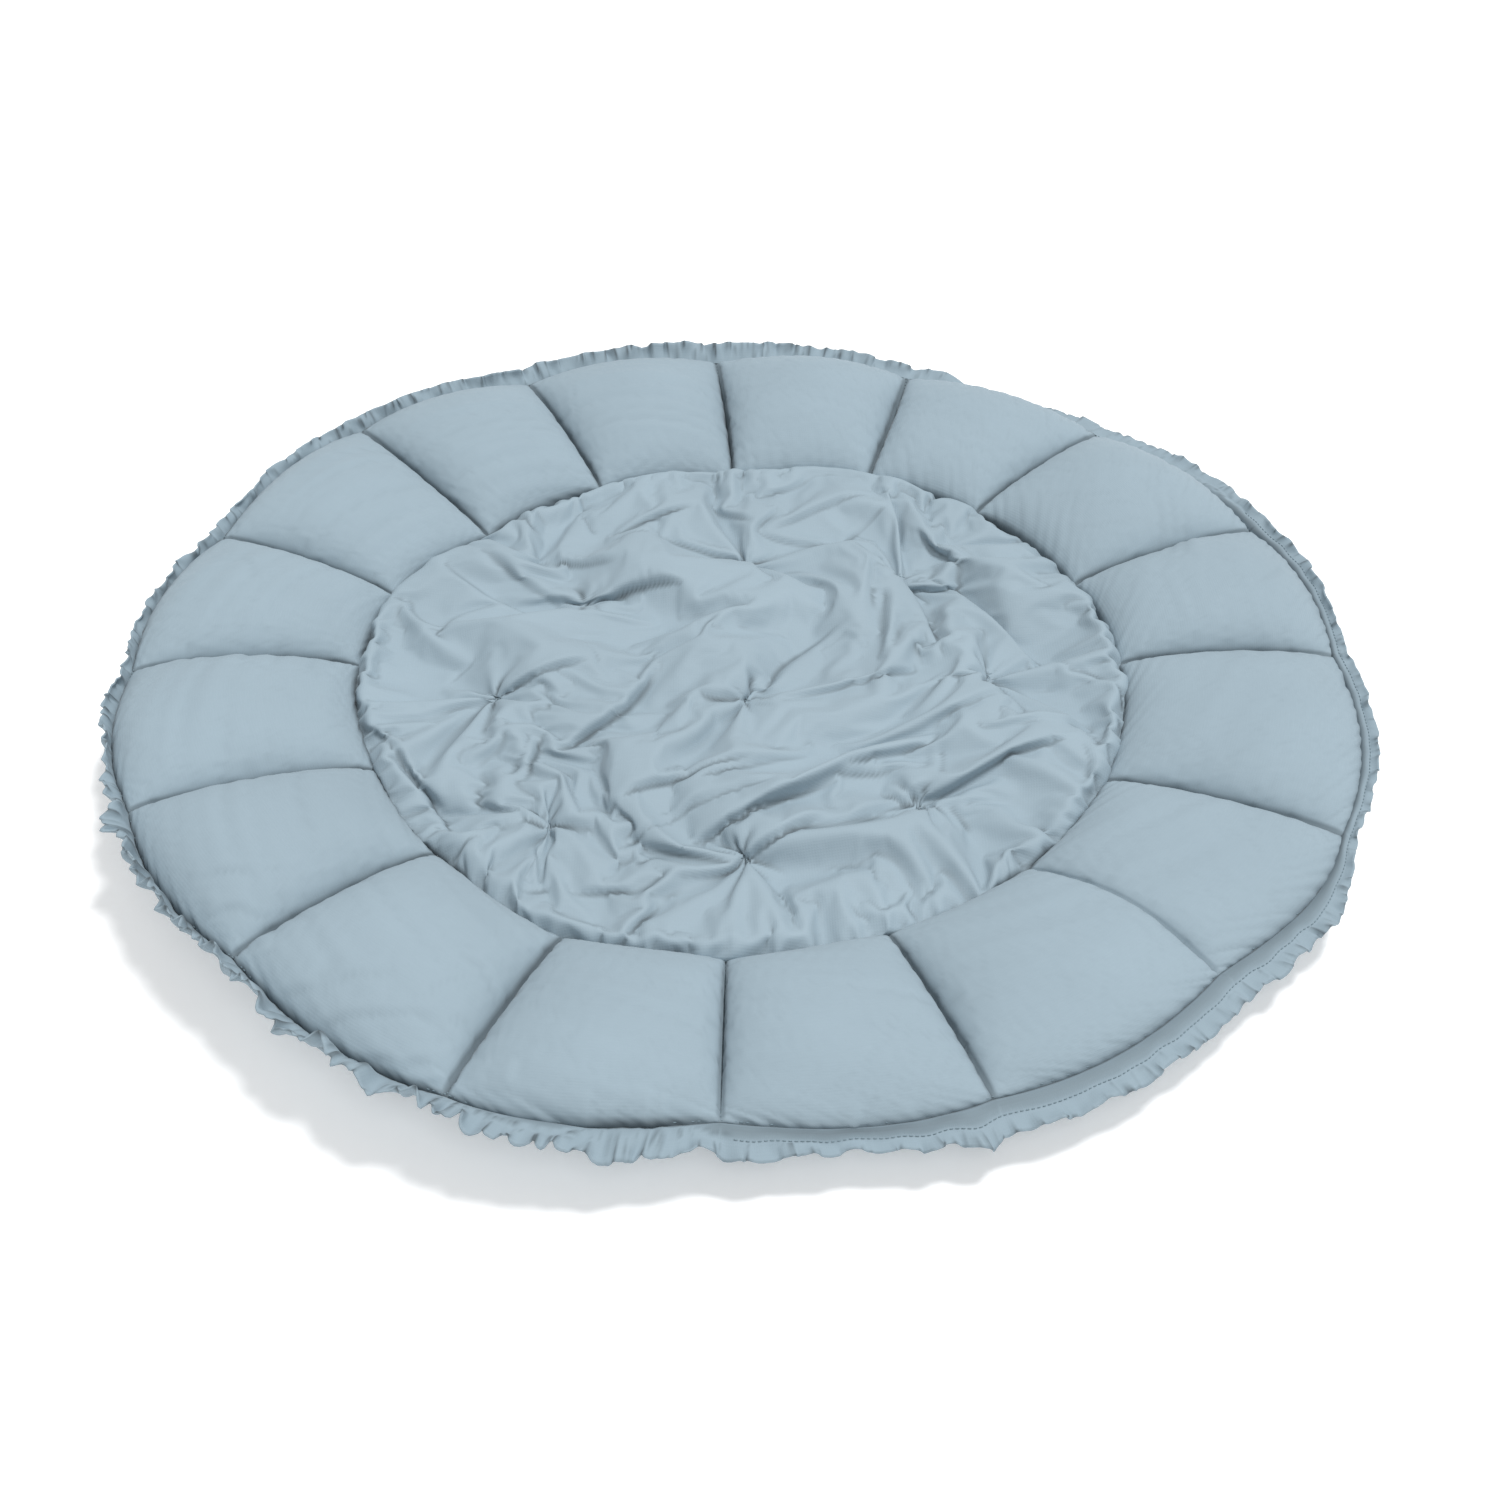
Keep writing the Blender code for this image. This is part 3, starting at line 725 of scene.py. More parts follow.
def make_ring(material):
    """The filled ring. Its sewn lines are held, and its cloth, cut a little large, puckers along them."""
    columns = CHANNELS * RING_COLUMNS
    rows = RING_TOP_ROWS + RING_BELOW_ROWS
    mesh = closed_strip(columns, rows, tube=True)
    station, row = np.divmod(np.arange(columns * rows), rows)
    channel, column = np.divmod(station, RING_COLUMNS)
    even = column / RING_COLUMNS
    across = even - COLUMN_CROWDING / (2 * np.pi) * np.sin(2 * np.pi * even)
    share = np.where(
        row <= RING_TOP_ROWS, row / RING_TOP_ROWS, 1 - (row - RING_TOP_ROWS) / RING_BELOW_ROWS
    )
    outward = (1 + np.cos(np.pi * share)) / 2
    on_edge = (row == 0) | (row == RING_TOP_ROWS)
    side = np.where(on_edge, 0, np.where(row < RING_TOP_ROWS, 1, -1))
    set_points(mesh, ring_points(channel, across, outward, side))
    on_top = (side > 0).astype(float)
    normals = vertex_normals(mesh)
    arc = np.radians(PITCH * (channel + across)) * mix(PANEL_RADIUS, RIM_RADIUS, outward)
    depth = RIM_RADIUS - PANEL_RADIUS
    from_rim = (1 - outward) * depth
    from_panel = outward * depth
    channel_width = np.radians(PITCH) * mix(PANEL_RADIUS, RIM_RADIUS, outward)
    from_seam = np.minimum(across, 1 - across) * channel_width
    pucker = gathered(RIM_GATHERS, arc, from_rim)
    pucker += gathered(PANEL_GATHERS, arc, from_panel)
    pucker += gathered(SEAM_GATHERS, from_rim, from_seam, arc / SEAM_GATHERS_DRIFT)
    lumps = LUMP_RISE * noise_at(arc / LUMP_ALONG, from_rim / LUMP_DEEP, LUMP_SEED)
    lumps *= bump(outward) * bump(across)
    points = get_points(mesh)
    from_x = points[:, 0] - PANEL_X
    from_y = points[:, 1] - PANEL_Y
    pulls = sum(
        fold_rise(from_x, from_y, fold._replace(gentle=PULL_GENTLE, steep=PULL_STEEP)) for fold in RING_PULLS
    )
    points += normals * ((pucker + lumps + pulls) * on_top * (1 - on_edge))[:, None]
    points[:, 2] = np.maximum(points[:, 2], 0.0)
    set_points(mesh, points)
    give_uv(mesh, arc, np.where(side >= 0, from_rim, -from_rim))
    piece = new_piece("ring_cover", mesh, material)
    sewn = on_edge | (column == 0)
    held = np.where(sewn, 1.0, np.where(side < 0, RING_BELOW_HOLD, RING_SOFT_HOLD))
    settle(piece, held, RING_GROWTH, RING_BENDING, RING_FRAMES, RING_CAP)
    points = get_points(mesh)
    points[:, 2] = np.maximum(points[:, 2], 0.0)
    set_points(mesh, points)
    rim_azimuth = ring_azimuth(channel, across, 1.0)
    nearer = np.where(across < 0.5, channel, channel + 1) % CHANNELS
    # Painted shade: darker colour along the radial seams, stronger where a seam is deep, and along the panel
    # edge and the rim, less at the rim where the ruffle has its smooth band; only on top
    shaded = np.exp(-((from_seam / SEAM_SHADE) ** 2)) * seam_column("depth")[nearer] ** 3
    shaded = np.maximum(shaded, np.exp(-((from_panel / SEAM_SHADE) ** 2)))
    rim_shade = np.exp(-((from_rim / SEAM_SHADE) ** 2)) * (1 - BAND_RIM_SHADE_FADE * banded(rim_azimuth))
    shaded = np.maximum(shaded, rim_shade)
    paint_crease_shade(mesh, shaded * (side >= 0), RING_CREASE_SHADE)
    return piece


# Middle


def disc_share(a, b):
    """Points of a square from -1 to 1 as azimuths and shares of a disc's radius, evenly spaced."""
    flat = np.abs(a) >= np.abs(b)
    radius = np.where(flat, a, b)
    safe = np.where(np.abs(radius) < 1e-9, 1.0, radius)
    angle = np.where(flat, np.pi / 4 * b / safe, np.pi / 2 - np.pi / 4 * a / safe)
    angle = np.where(radius < 0, angle + np.pi, angle)
    return (90 - np.degrees(angle)) % 360, np.abs(radius)


def panel_edge(azimuth):
    """Radius of the inner seam at an azimuth."""
    channel, step = np.divmod(np.arange(0, CHANNELS * EDGE_STEPS + 1), EDGE_STEPS)
    found = ring_azimuth(channel, step / EDGE_STEPS, 0.0)
    radius = panel_radius(channel, step / EDGE_STEPS)
    return np.interp((azimuth - found[0]) % 360 + found[0], found, radius)


def fold_rise(x, y, fold):
    """What one fold adds to the height: a crest that fades to its ends, gentle on one side and creased on
    the other."""
    run_x = fold.end_x - fold.start_x
    run_y = fold.end_y - fold.start_y
    length = math.hypot(run_x, run_y)
    along = ((x - fold.start_x) * run_x + (y - fold.start_y) * run_y) / length**2
    left = ((y - fold.start_y) * run_x - (x - fold.start_x) * run_y) / length
    left = left - fold.bow * bump(np.clip(along, 0, 1))
    crest = np.exp(CREST_SOFT - np.sqrt((left / fold.gentle) ** 2 + CREST_SOFT**2))
    down = np.clip(-left / fold.steep, 0, 1)
    beyond = np.maximum(0.0, -left - fold.steep) / (CREASE_SPREAD * fold.gentle)
    foot = mix(crest, -CREASE_DEPTH, ease(down)) * np.exp(-beyond)
    fall = np.where(left > 0, crest, foot)
    starts = ease(np.clip((along + FOLD_FADE) / (3 * FOLD_FADE), 0, 1))
    ends = ease(np.clip((1 + FOLD_FADE - along) / (3 * FOLD_FADE), 0, 1))
    return fold.rise * fall * starts * ends


def tie_pull(x, y):
    """How far the ties hold the cloth down, and the star of small folds round each."""
    pulled = np.zeros_like(x)
    star = np.zeros_like(x)
    for number, tie in enumerate(TIES):
        away = np.hypot(x - tie.x, y - tie.y)
        turned = np.arctan2(y - tie.y, x - tie.x)
        rays = sum(row.size * np.sin(row.count * turned + row.turn * number) for row in STAR_RAYS)
        pulled = np.maximum(pulled, np.exp(-away / TIE_SPREAD))
        star += STAR_RISE * rays * np.exp(-(((away - STAR_REACH) / STAR_SPREAD) ** 2))
    return pulled, star


def middle_height(x, y, azimuth, share, edge):
    """Height of the middle's top cloth at a place measured from the panel's middle."""
    rise = MIDDLE_RISE * np.maximum(0.0, 1 - share**2) ** MIDDLE_RIM_POWER
    pulled, star = tie_pull(x, y)
    folds = FOLD_STRENGTH * sum(fold_rise(x, y, fold) for fold in FOLDS)
    round_x = PANEL_RADIUS * np.sin(np.radians(azimuth))
    round_y = PANEL_RADIUS * np.cos(np.radians(azimuth))
    from_seam = (1 - share) * edge
    gathers = 0.0
    for gather in (SHORT_GATHERS, LONG_GATHERS):
        away = gather.seed + from_seam / gather.reach
        wave = noise_at(round_x / gather.length, round_y / gather.length, away)
        gathers = gathers + gather.rise * np.exp(-from_seam / gather.fade) * wave
    roll = EDGE_ROLL * np.exp(-(((from_seam - EDGE_ROLL_PLACE) / EDGE_ROLL_SPREAD) ** 2))
    broad = BROAD_SWELL * noise_at(x / SWELL_LENGTH, y / SWELL_DEPTH, SWELL_SEED)
    drift = CREASE_DRIFT * noise_at(x / DRIFT_LENGTH, y / DRIFT_LENGTH, DRIFT_SEED)
    slanted = y - CREASE_SLANT * x - drift
    fine = 0.5 - np.abs(noise_at((x + drift) / CREASE_LENGTH, slanted / CREASE_WIDTH, CREASE_SEED))
    creased = broad + FINE_CREASE * fine
    inside = 1 - share**MIDDLE_HOLD_POWER
    seam = PANEL_SEAM_HEIGHT + rise + (gathers + roll) * np.minimum(1, from_seam / SEAM_REACH)
    return seam + inside * (folds + star + creased - TIE_DEPTH * pulled)


def make_middle(material):
    """The creased middle: its top cloth is settled over the padding, then closed down to a flat underside."""
    sheet = bmesh.new()
    bmesh.ops.create_grid(sheet, x_segments=MIDDLE_GRID, y_segments=MIDDLE_GRID, size=1.0)
    mesh = bpy.data.meshes.new("middle_cover")
    sheet.to_mesh(mesh)
    sheet.free()
    square = get_points(mesh)
    azimuth, share = disc_share(square[:, 0], square[:, 1])
    edge = panel_edge(azimuth) - MIDDLE_GAP
    x, y = plan(azimuth, share * edge)
    from_x = x - PANEL_X
    from_y = y - PANEL_Y
    z = middle_height(from_x, from_y, azimuth, share, edge)
    set_points(mesh, np.stack([x, y, z], axis=-1))
    give_uv(mesh, x, y)
    piece = new_piece("middle_cover", mesh, material)
    away = np.min([np.hypot(from_x - tie.x, from_y - tie.y) for tie in TIES], axis=0)
    held = np.where((share > SEWN_SHARE) | (away < TIE_REACH), 1.0, MIDDLE_SOFT_HOLD)
    settle(piece, held, MIDDLE_GROWTH, MIDDLE_BENDING, MIDDLE_FRAMES, MIDDLE_CAP)
    soften(mesh, held < 1, MIDDLE_SOFTENING)
    close_below(mesh)
    # Painted shade along the inner seam, and painted shade in the hollows of the settled cloth
    sewn = np.ones(len(mesh.vertices))
    sewn[: len(share)] = np.exp(-(((1 - share) * edge / SEAM_SHADE) ** 2))
    paint_crease_shade(mesh, sewn, MIDDLE_CREASE_SHADE)
    return piece


def close_below(mesh):
    """Lets the sheet's edge down to the floor, drawn in a little, and closes it with one flat face."""
    shell = bmesh.new()
    shell.from_mesh(mesh)
    rim = [edge for edge in shell.edges if edge.is_boundary]
    drawn = bmesh.ops.extrude_edge_only(shell, edges=rim)["geom"]
    low = [item for item in drawn if isinstance(item, bmesh.types.BMVert)]
    for vertex in low:
        out = Vector((vertex.co.x - PANEL_X, vertex.co.y - PANEL_Y, 0.0))
        vertex.co -= out.normalized() * MIDDLE_DRAWN_IN
        vertex.co.z = 0.0
    low_edges = [item for item in drawn if isinstance(item, bmesh.types.BMEdge)]
    bmesh.ops.holes_fill(shell, edges=low_edges, sides=0)
    bmesh.ops.recalc_face_normals(shell, faces=shell.faces)
    shell.to_mesh(mesh)
    shell.free()
    mesh.shade_smooth()
    mesh.set_sharp_from_angle(angle=math.radians(UNDER_EDGE_ANGLE))


# Ruffle


def ruffle_stance(azimuth):
    """Lean, width and height of the broad folds at an azimuth, eased between the rows of LEANS."""
    azimuth = azimuth % 360
    rows = LEANS + (LEANS[0]._replace(azimuth=360),)
    found = np.array([row.azimuth for row in rows])
    after = np.clip(np.searchsorted(found, azimuth, side="left"), 1, len(rows) - 1)
    share = ease((azimuth - found[after - 1]) / (found[after] - found[after - 1]))
    stance = []
    for column in ("lean", "width", "folds"):
        values = np.array([getattr(row, column) for row in rows])
        stance.append(mix(values[after - 1], values[after], share))
    return stance


def banded(azimuth):
    """1 where the ruffle has its smooth band, 0 where it has none, or is twisted up."""
    azimuth = azimuth % 360
    starts = ease(np.clip((azimuth - BAND_FROM) / BAND_FADE, 0, 1))
    ends = ease(np.clip((BAND_TO - azimuth) / BAND_FADE, 0, 1))
    twisted = np.exp(-(((azimuth - TWIST_AZIMUTH) / TWIST_SPREAD) ** 4))
    return starts * ends * (1 - twisted)


def make_ruffle(material):
    """The gathered strip. Its cloth is cut longer than the rim, so that it buckles as it settles."""
    mesh = closed_strip(RUFFLE_STATIONS, RUFFLE_ROWS, tube=False)
    station, row = np.divmod(np.arange(RUFFLE_STATIONS * RUFFLE_ROWS), RUFFLE_ROWS)
    share = row / (RUFFLE_ROWS - 1)
    turn = station / RUFFLE_STATIONS
    channel, across = np.divmod(turn * CHANNELS, 1.0)
    channel = channel.astype(int)
    azimuth = ring_azimuth(channel, across, 1.0)
    lean, width, folds = ruffle_stance(azimuth)
    slope = np.radians(lean)
    stands = np.abs(np.sin(slope))
    smooth = banded(azimuth)
    in_band = smooth * (share <= BAND_SHARE)
    loose = np.clip((share - BAND_SHARE * smooth) / (1 - BAND_SHARE * smooth), 0, 1)
    angle = 2 * np.pi * turn
    round_x = RIM_RADIUS * np.sin(angle)
    round_y = RIM_RADIUS * np.cos(angle)
    broad, narrow, fine = (
        noise_at(round_x / ripple.length, round_y / ripple.length, ripple.seed + share) * loose**ripple.power
        for ripple in (BROAD_RIPPLE, NARROW_RIPPLE, FINE_RIPPLE)
    )
    crumpled = RUFFLE_CRUMPLE * narrow + RUFFLE_FINE * fine
    crumpled = crumpled * mix(RUFFLE_CALM, 1.0, stands) * width / RUFFLE_WIDTH
    wave = folds * broad + crumpled
    wave += BAND_PUFF * in_band * bump(np.minimum(share / BAND_SHARE, 1.0))
    wave -= RUFFLE_FALLS_OUT * folds * stands * share
    scallop = 1 + SCALLOP * noise_at(round_x / SCALLOP_LENGTH, round_y / SCALLOP_LENGTH, SCALLOP_SEED)
    reach = width * share * scallop
    root = rim_radius(channel, across) + RUFFLE_GAP + RUFFLE_THICKNESS / 2 * stands
    radius = root + reach * np.cos(slope) - wave * np.sin(slope)
    z = seam_height(channel, across, 1.0) + reach * np.sin(slope) + wave * np.cos(slope)
    slide = SLIDE * noise_at(round_x / SLIDE_LENGTH, round_y / SLIDE_LENGTH, SLIDE_SEED) * loose / root
    x, y = plan(azimuth + np.degrees(slide), radius)
    set_points(mesh, np.stack([x, y, z], axis=-1))
    give_uv(mesh, turn * RUFFLE_LENGTH, share * RUFFLE_WIDTH, whole=RUFFLE_LENGTH)
    piece = new_piece("ruffle_strip", mesh, material)
    held = np.where(row == 0, 1.0, RUFFLE_SOFT_HOLD * (RUFFLE_WIDTH / width) ** 2)
    held = np.maximum(held, in_band * np.where(share == BAND_SHARE, 1.0, BAND_HOLD))
    slack = mix(RUFFLE_GROWTH_FLAT, RUFFLE_GROWTH, stands[row == 0])
    cut_radius = RIM_RADIUS * slack.mean()
    cut_angle = 2 * np.pi * (np.cumsum(slack) / slack.sum())[station]
    cut = np.stack(
        [cut_radius * np.sin(cut_angle), cut_radius * np.cos(cut_angle), share * width * scallop], axis=-1
    )
    settle(piece, held, 0.0, RUFFLE_BENDING, RUFFLE_FRAMES, RUFFLE_CAP, cut)
    # Painted shade along the sewn edge of the strip and in its hollows
    paint_crease_shade(mesh, np.where(row == 0, 1.0, 0.0), RUFFLE_CREASE_SHADE)
    settled = get_points(mesh)
    on_seam = (share == BAND_SHARE) & (in_band > 0.99)
    band_seam = settled[on_seam] + (0.0, 0.0, RUFFLE_THICKNESS)
    doubled = piece.modifiers.new("doubled_cloth", "SOLIDIFY")
    doubled.thickness = RUFFLE_THICKNESS
    doubled.offset = 0.0
    return piece, band_seam


# Thread


def stitch_tree():
    """Geometry nodes that lay one stitch after another along each path, a little uneven in length."""
    tree = bpy.data.node_groups.new("stitches_along_seam", "GeometryNodeTree")
    face = tree.interface
    face.new_socket("Paths", in_out="INPUT", socket_type="NodeSocketGeometry")
    for name in ("Stitch spacing", "Stitch length", "Thread thickness"):
        face.new_socket(name, in_out="INPUT", socket_type="NodeSocketFloat")
    face.new_socket("Thread", in_out="INPUT", socket_type="NodeSocketMaterial")
    face.new_socket("Stitches", in_out="OUTPUT", socket_type="NodeSocketGeometry")
    nodes = tree.nodes
    links = tree.links
    given = nodes.new("NodeGroupInput")
    path = nodes.new("GeometryNodeMeshToCurve")
    links.new(given.outputs["Paths"], path.inputs["Mesh"])
    places = nodes.new("GeometryNodeCurveToPoints")
    places.mode = "LENGTH"
    links.new(path.outputs["Curve"], places.inputs["Curve"])
    links.new(given.outputs["Stitch spacing"], places.inputs["Length"])
    stitch = nodes.new("GeometryNodeMeshIcoSphere")
    stitch.inputs["Radius"].default_value = 0.5
    stitch.inputs["Subdivisions"].default_value = 1
    smooth = nodes.new("GeometryNodeSetShadeSmooth")
    links.new(stitch.outputs["Mesh"], smooth.inputs["Geometry"])
    uneven = nodes.new("FunctionNodeRandomValue")
    uneven.data_type = "FLOAT"
    uneven.inputs[2].default_value = SHORTEST_STITCH
    uneven.inputs[3].default_value = LONGEST_STITCH
    uneven.inputs["Seed"].default_value = STITCH_SEED
    length = nodes.new("ShaderNodeMath")
    length.operation = "MULTIPLY"
    links.new(given.outputs["Stitch length"], length.inputs[0])
    links.new(uneven.outputs[1], length.inputs[1])
    size = nodes.new("ShaderNodeCombineXYZ")
    links.new(given.outputs["Thread thickness"], size.inputs["X"])
    links.new(given.outputs["Thread thickness"], size.inputs["Y"])
    links.new(length.outputs["Value"], size.inputs["Z"])
    laid = nodes.new("GeometryNodeInstanceOnPoints")
    links.new(places.outputs["Points"], laid.inputs["Points"])
    links.new(smooth.outputs["Geometry"], laid.inputs["Instance"])
    links.new(places.outputs["Rotation"], laid.inputs["Rotation"])
    links.new(size.outputs["Vector"], laid.inputs["Scale"])
    real = nodes.new("GeometryNodeRealizeInstances")
    links.new(laid.outputs["Instances"], real.inputs["Geometry"])
    dyed = nodes.new("GeometryNodeSetMaterial")
    links.new(real.outputs["Geometry"], dyed.inputs["Geometry"])
    links.new(given.outputs["Thread"], dyed.inputs["Material"])
    made = nodes.new("NodeGroupOutput")
    links.new(dyed.outputs["Geometry"], made.inputs["Stitches"])
    return tree


def sew(name, paths, tree, spacing, length, material):
    """One mesh of stitches along these paths, each an array of points."""
    points = []
    edges = []
    for line in paths:
        first = len(points)
        points.extend(line.tolist())
        edges.extend((first + step, first + step + 1) for step in range(len(line) - 1))
    guide_mesh = bpy.data.meshes.new(name + "_paths")
    guide_mesh.from_pydata(points, edges, [])
    guide = bpy.data.objects.new(name + "_paths", guide_mesh)
    bpy.context.scene.collection.objects.link(guide)
    nodes = guide.modifiers.new("stitches", "NODES")
    nodes.node_group = tree
    values = {
        "Stitch spacing": spacing,
        "Stitch length": length,
        "Thread thickness": THREAD_THICKNESS,
        "Thread": material,
    }
    for socket in tree.interface.items_tree:
        if socket.in_out == "INPUT" and socket.name in values:
            nodes[socket.identifier] = values[socket.name]
    bpy.context.view_layer.update()
    evaluated = guide.evaluated_get(bpy.context.evaluated_depsgraph_get())
    mesh = bpy.data.meshes.new_from_object(evaluated)
    mesh.name = name
    guide.modifiers.remove(nodes)
    bpy.data.objects.remove(guide)
    stitches = bpy.data.objects.new(name, mesh)
    bpy.context.scene.collection.objects.link(stitches)
    return stitches


def seam_paths(band_seam):
    """Paths of the sewn lines: sixteen across the ring, its two edges, and the ruffle's band."""
    along = np.linspace(SEAM_ENDS, 1 - SEAM_ENDS, SEAM_POINTS)
    lift = np.array((0.0, 0.0, THREAD_THICKNESS / 2))
    paths = [ring_points(seam, 0.0, along, 1) + lift for seam in range(CHANNELS)]
    turn = np.linspace(0, CHANNELS, CHANNELS * EDGE_POINTS + 1)
    channel, across = np.divmod(turn, 1.0)
    channel = channel.astype(int)
    for outward, inset in ((1.0, RIM_INSET), (0.0, PANEL_INSET)):
        edge = ring_points(channel, across, outward, 0)
        out = edge[:, :2] - (PANEL_X, PANEL_Y)
        out /= np.linalg.norm(out, axis=1, keepdims=True)
        edge[:, :2] += out * inset
        edge[:, 2] += WEB / 2 + THREAD_THICKNESS
        paths.append(edge)
    paths.append(band_seam)
    return paths


def tie_paths(middle):
    """Two short crossing stitches over each tie, lying on the cloth there."""
    points = get_points(middle.data)
    points = points[points[:, 2] >= TOP_FROM]
    paths = []
    for number, tie in enumerate(TIES):
        x = PANEL_X + tie.x
        y = PANEL_Y + tie.y
        near = np.argmin(np.hypot(points[:, 0] - x, points[:, 1] - y))
        height = points[near, 2] + THREAD_THICKNESS
        for turn in (TIE_TURN * number, TIE_TURN * number + TIE_CROSS):
            reach = TIE_STITCH * np.array((math.cos(turn), math.sin(turn), 0.0))
            centre = np.array((x, y, height))
            paths.append(np.stack([centre - reach, centre + reach]))
    return paths


# Materials


def cotton(name, colour, roughness, crumple_strength):
    """Washed plain-weave cotton: threads and slubs from the cloth's own UV map, soft creases over them, and
    shade painted into its colour in hollows and along seams.
    """
    material = bpy.data.materials.new(name)
    material.use_nodes = True
    nodes = material.node_tree.nodes
    links = material.node_tree.links
    shader = nodes["Principled BSDF"]
    shader.inputs["Roughness"].default_value = roughness
    shader.inputs["Sheen Weight"].default_value = SHEEN
    shader.inputs["Sheen Roughness"].default_value = SHEEN_ROUGHNESS
    shader.inputs["Specular IOR Level"].default_value = GLOSS
    place = nodes.new("ShaderNodeTexCoord")

    cloud = nodes.new("ShaderNodeTexNoise")
    cloud.inputs["Scale"].default_value = CLOUD_SCALE
    cloud.inputs["Detail"].default_value = CLOUD_DETAIL
    links.new(place.outputs["Object"], cloud.inputs["Vector"])
    slub_place = nodes.new("ShaderNodeMapping")
    slub_place.inputs["Scale"].default_value = SLUB_SCALE
    links.new(place.outputs["UV"], slub_place.inputs["Vector"])
    slub = nodes.new("ShaderNodeTexNoise")
    slub.inputs["Scale"].default_value = 1.0
    slub.inputs["Detail"].default_value = SLUB_DETAIL
    links.new(slub_place.outputs["Vector"], slub.inputs["Vector"])
    tone = nodes.new("ShaderNodeMath")
    tone.operation = "MULTIPLY_ADD"
    links.new(slub.outputs["Fac"], tone.inputs[0])
    tone.inputs[1].default_value = SLUB_SHARE
    links.new(cloud.outputs["Fac"], tone.inputs[2])
    ramp = nodes.new("ShaderNodeValToRGB")
    ramp.color_ramp.elements[0].position = TONE_START
    ramp.color_ramp.elements[1].position = 1.0
    ramp.color_ramp.elements[0].color = (*(TONE_LOW * part for part in colour), 1.0)
    ramp.color_ramp.elements[1].color = (*(TONE_HIGH * part for part in colour), 1.0)
    links.new(tone.outputs["Value"], ramp.inputs["Fac"])
    # Painted shade: the colour mixes towards a darker copy of the cloth's colour where the crease_shade
    # attribute marks a hollow or a seam
    crease_shade_place = nodes.new("ShaderNodeAttribute")
    crease_shade_place.attribute_name = "crease_shade"
    shaded = nodes.new("ShaderNodeMix")
    shaded.data_type = "RGBA"
    links.new(crease_shade_place.outputs["Fac"], shaded.inputs["Factor"])
    links.new(ramp.outputs["Color"], shaded.inputs["A"])
    shaded.inputs["B"].default_value = (*(CREASE_SHADE_TONE * part for part in colour), 1.0)
    links.new(shaded.outputs["Result"], shader.inputs["Base Color"])

    threads = []
    for direction in ("X", "Y"):
        thread = nodes.new("ShaderNodeTexWave")
        thread.bands_direction = direction
        thread.inputs["Scale"].default_value = THREAD_SCALE
        thread.inputs["Distortion"].default_value = THREAD_STRAY
        links.new(place.outputs["UV"], thread.inputs["Vector"])
        threads.append(thread)
    weave = nodes.new("ShaderNodeMath")
    weave.operation = "MULTIPLY"
    links.new(threads[0].outputs["Fac"], weave.inputs[0])
    links.new(threads[1].outputs["Fac"], weave.inputs[1])
    woven = nodes.new("ShaderNodeBump")
    woven.inputs["Strength"].default_value = WEAVE_STRENGTH
    woven.inputs["Distance"].default_value = WEAVE_DEPTH
    links.new(weave.outputs["Value"], woven.inputs["Height"])
    crumple = nodes.new("ShaderNodeTexNoise")
    crumple.inputs["Scale"].default_value = CRUMPLE_SCALE
    crumple.inputs["Detail"].default_value = CRUMPLE_DETAIL
    crumple.inputs["Distortion"].default_value = CRUMPLE_STRAY
    links.new(place.outputs["Object"], crumple.inputs["Vector"])
    creased = nodes.new("ShaderNodeBump")
    creased.inputs["Strength"].default_value = crumple_strength
    creased.inputs["Distance"].default_value = CRUMPLE_DEPTH
    links.new(crumple.outputs["Fac"], creased.inputs["Height"])
    links.new(woven.outputs["Normal"], creased.inputs["Normal"])
    links.new(creased.outputs["Normal"], shader.inputs["Normal"])
    return material


# Floor, light and camera


def make_floor():
    bpy.ops.mesh.primitive_plane_add(size=FLOOR_SIZE)
    floor = bpy.context.object
    floor.name = "floor"
    white = bpy.data.materials.new("floor_white")
    white.use_nodes = True
    shader = white.node_tree.nodes["Principled BSDF"]
    shader.inputs["Base Color"].default_value = (FLOOR_WHITE, FLOOR_WHITE, FLOOR_WHITE, 1.0)
    shader.inputs["Roughness"].default_value = 1.0
    shader.inputs["Specular IOR Level"].default_value = 0.0
    shader.inputs["Emission Color"].default_value = (1.0, 1.0, 1.0, 1.0)
    shader.inputs["Emission Strength"].default_value = FLOOR_GLOW
    floor.data.materials.append(white)


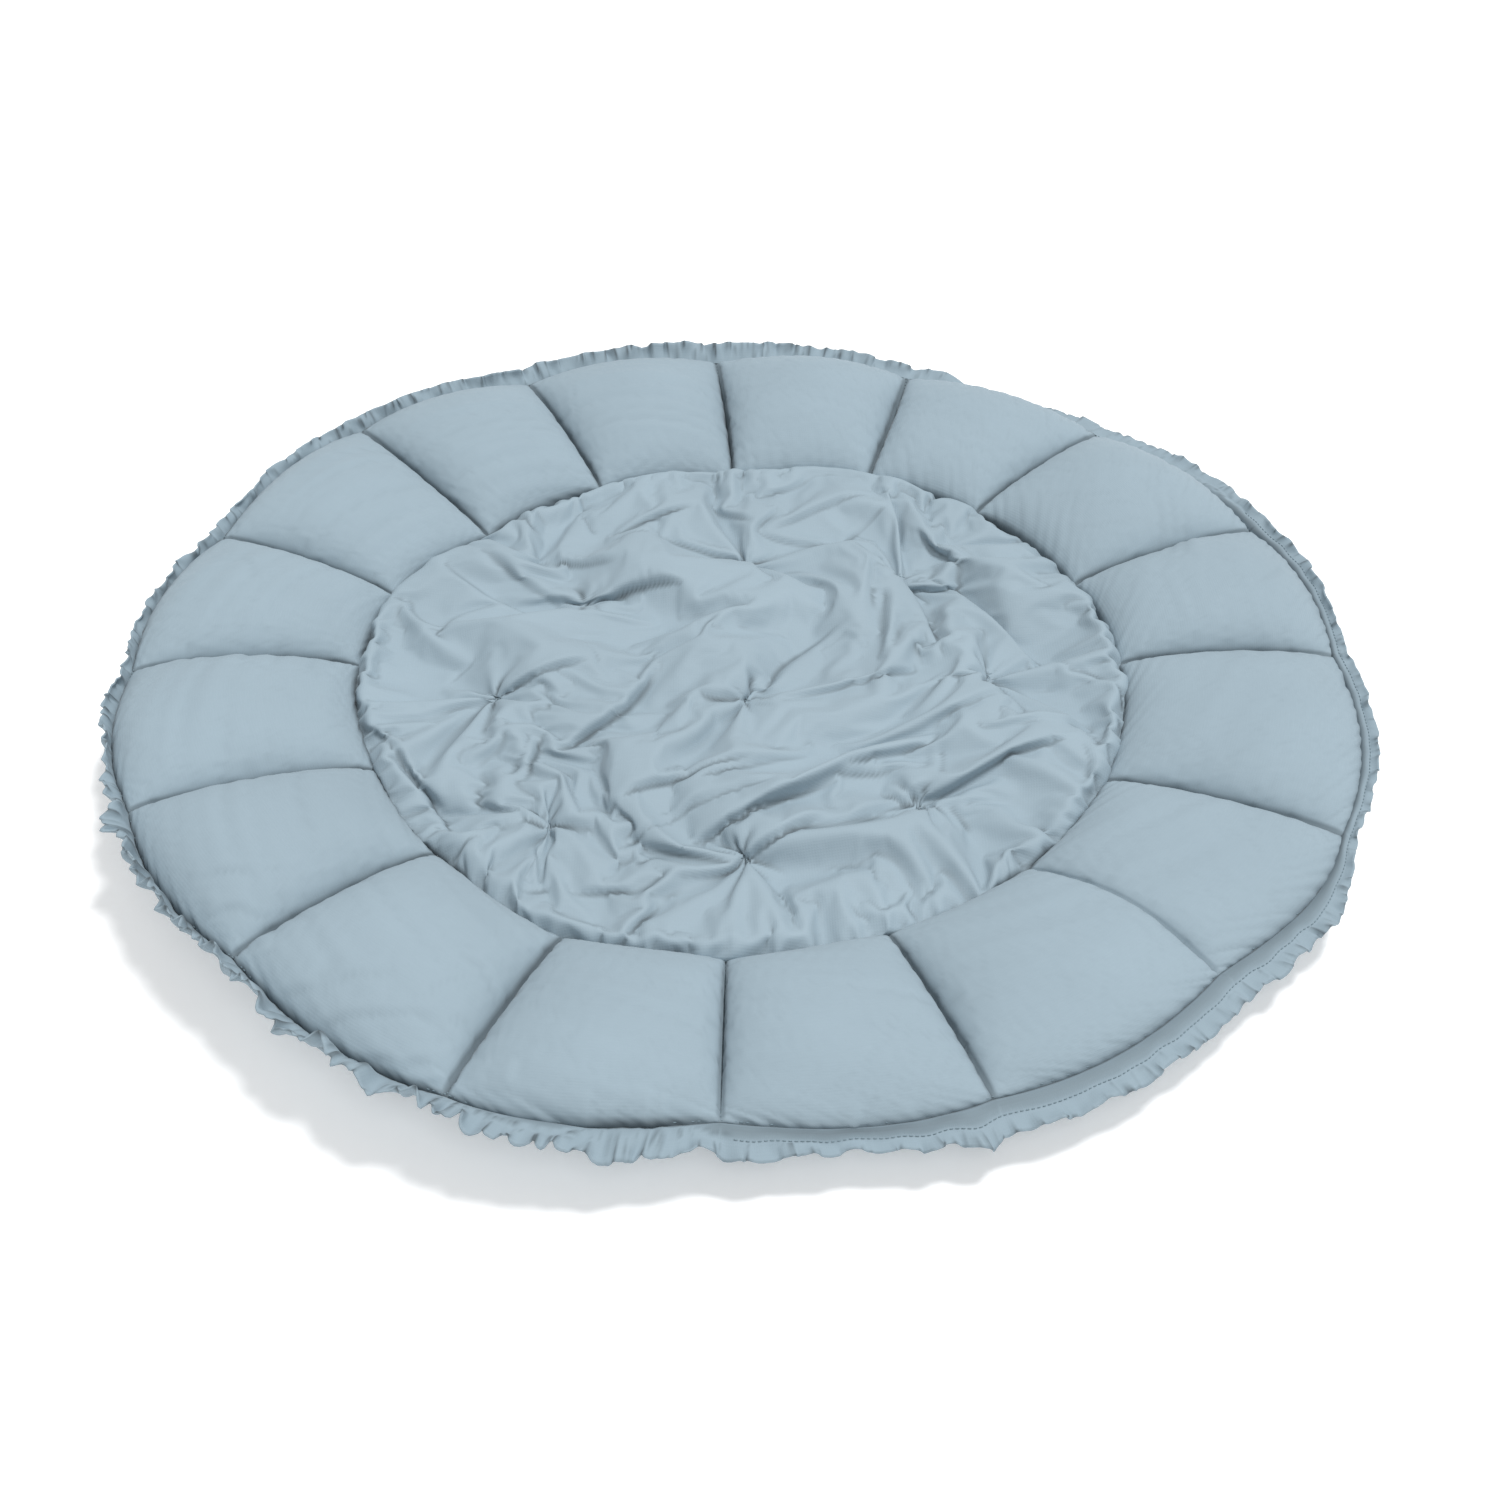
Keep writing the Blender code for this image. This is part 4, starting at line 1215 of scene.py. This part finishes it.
def add_sun(row):
    """A far, soft, white lamp."""
    lamp = bpy.data.lights.new(row.name, "SUN")
    lamp.energy = row.strength
    lamp.angle = math.radians(row.spread)
    holder = bpy.data.objects.new(row.name, lamp)
    bpy.context.scene.collection.objects.link(holder)
    turn = math.radians(row.azimuth)
    rise = math.radians(row.elevation)
    towards = Vector((math.sin(turn) * math.cos(rise), math.cos(turn) * math.cos(rise), math.sin(rise)))
    holder.rotation_euler = towards.to_track_quat("Z", "Y").to_euler()


def make_lights():
    for row in LAMPS:
        add_sun(row)
    world = bpy.data.worlds.new("studio")
    world.use_nodes = True
    ground = world.node_tree.nodes["Background"]
    ground.inputs["Color"].default_value = (1.0, 1.0, 1.0, 1.0)
    ground.inputs["Strength"].default_value = STUDIO_LIGHT
    bpy.context.scene.world = world
    bpy.context.scene.view_settings.view_transform = "Standard"


def make_camera():
    camera = bpy.data.objects.new("camera", bpy.data.cameras.new("camera"))
    camera.data.lens = LENS
    camera.data.sensor_width = SENSOR
    rise = math.radians(CAMERA_ELEVATION)
    back = Vector((0.0, -math.cos(rise), math.sin(rise)))
    camera.location = Vector(CAMERA_TARGET) + back * CAMERA_DISTANCE
    camera.rotation_euler = back.to_track_quat("Z", "Y").to_euler()
    bpy.context.scene.collection.objects.link(camera)
    bpy.context.scene.camera = camera


def main():
    make_camera()
    make_lights()
    make_floor()
    ring_cloth = cotton("ring_cotton", PAD_COLOUR, 0.85, 0.05)
    middle_cloth = cotton("middle_cotton", PAD_COLOUR, 0.66, 0.14)
    ruffle_cloth = cotton("ruffle_cotton", RUFFLE_COLOUR, 0.80, 0.10)
    thread = cotton("cotton_thread", THREAD_COLOUR, 0.70, 0.0)
    ring = make_ring(ring_cloth)
    middle = make_middle(middle_cloth)
    ruffle, band_seam = make_ruffle(ruffle_cloth)
    tree = stitch_tree()
    seams = sew("seam_stitches", seam_paths(band_seam), tree, STITCH_SPACING, STITCH_LENGTH, thread)
    ties = sew("tie_stitches", tie_paths(middle), tree, TIE_STITCH, TIE_STITCH, thread)
    for piece, node, name in (
        (ring, "ring_pad", "ring_cloth"),
        (middle, "centre_pad", "centre_cloth"),
        (ruffle, "ruffle", "ruffle_cloth"),
    ):
        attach(piece, "root")
        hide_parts(node)
    for piece in (seams, ties):
        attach(piece, "root")


main()
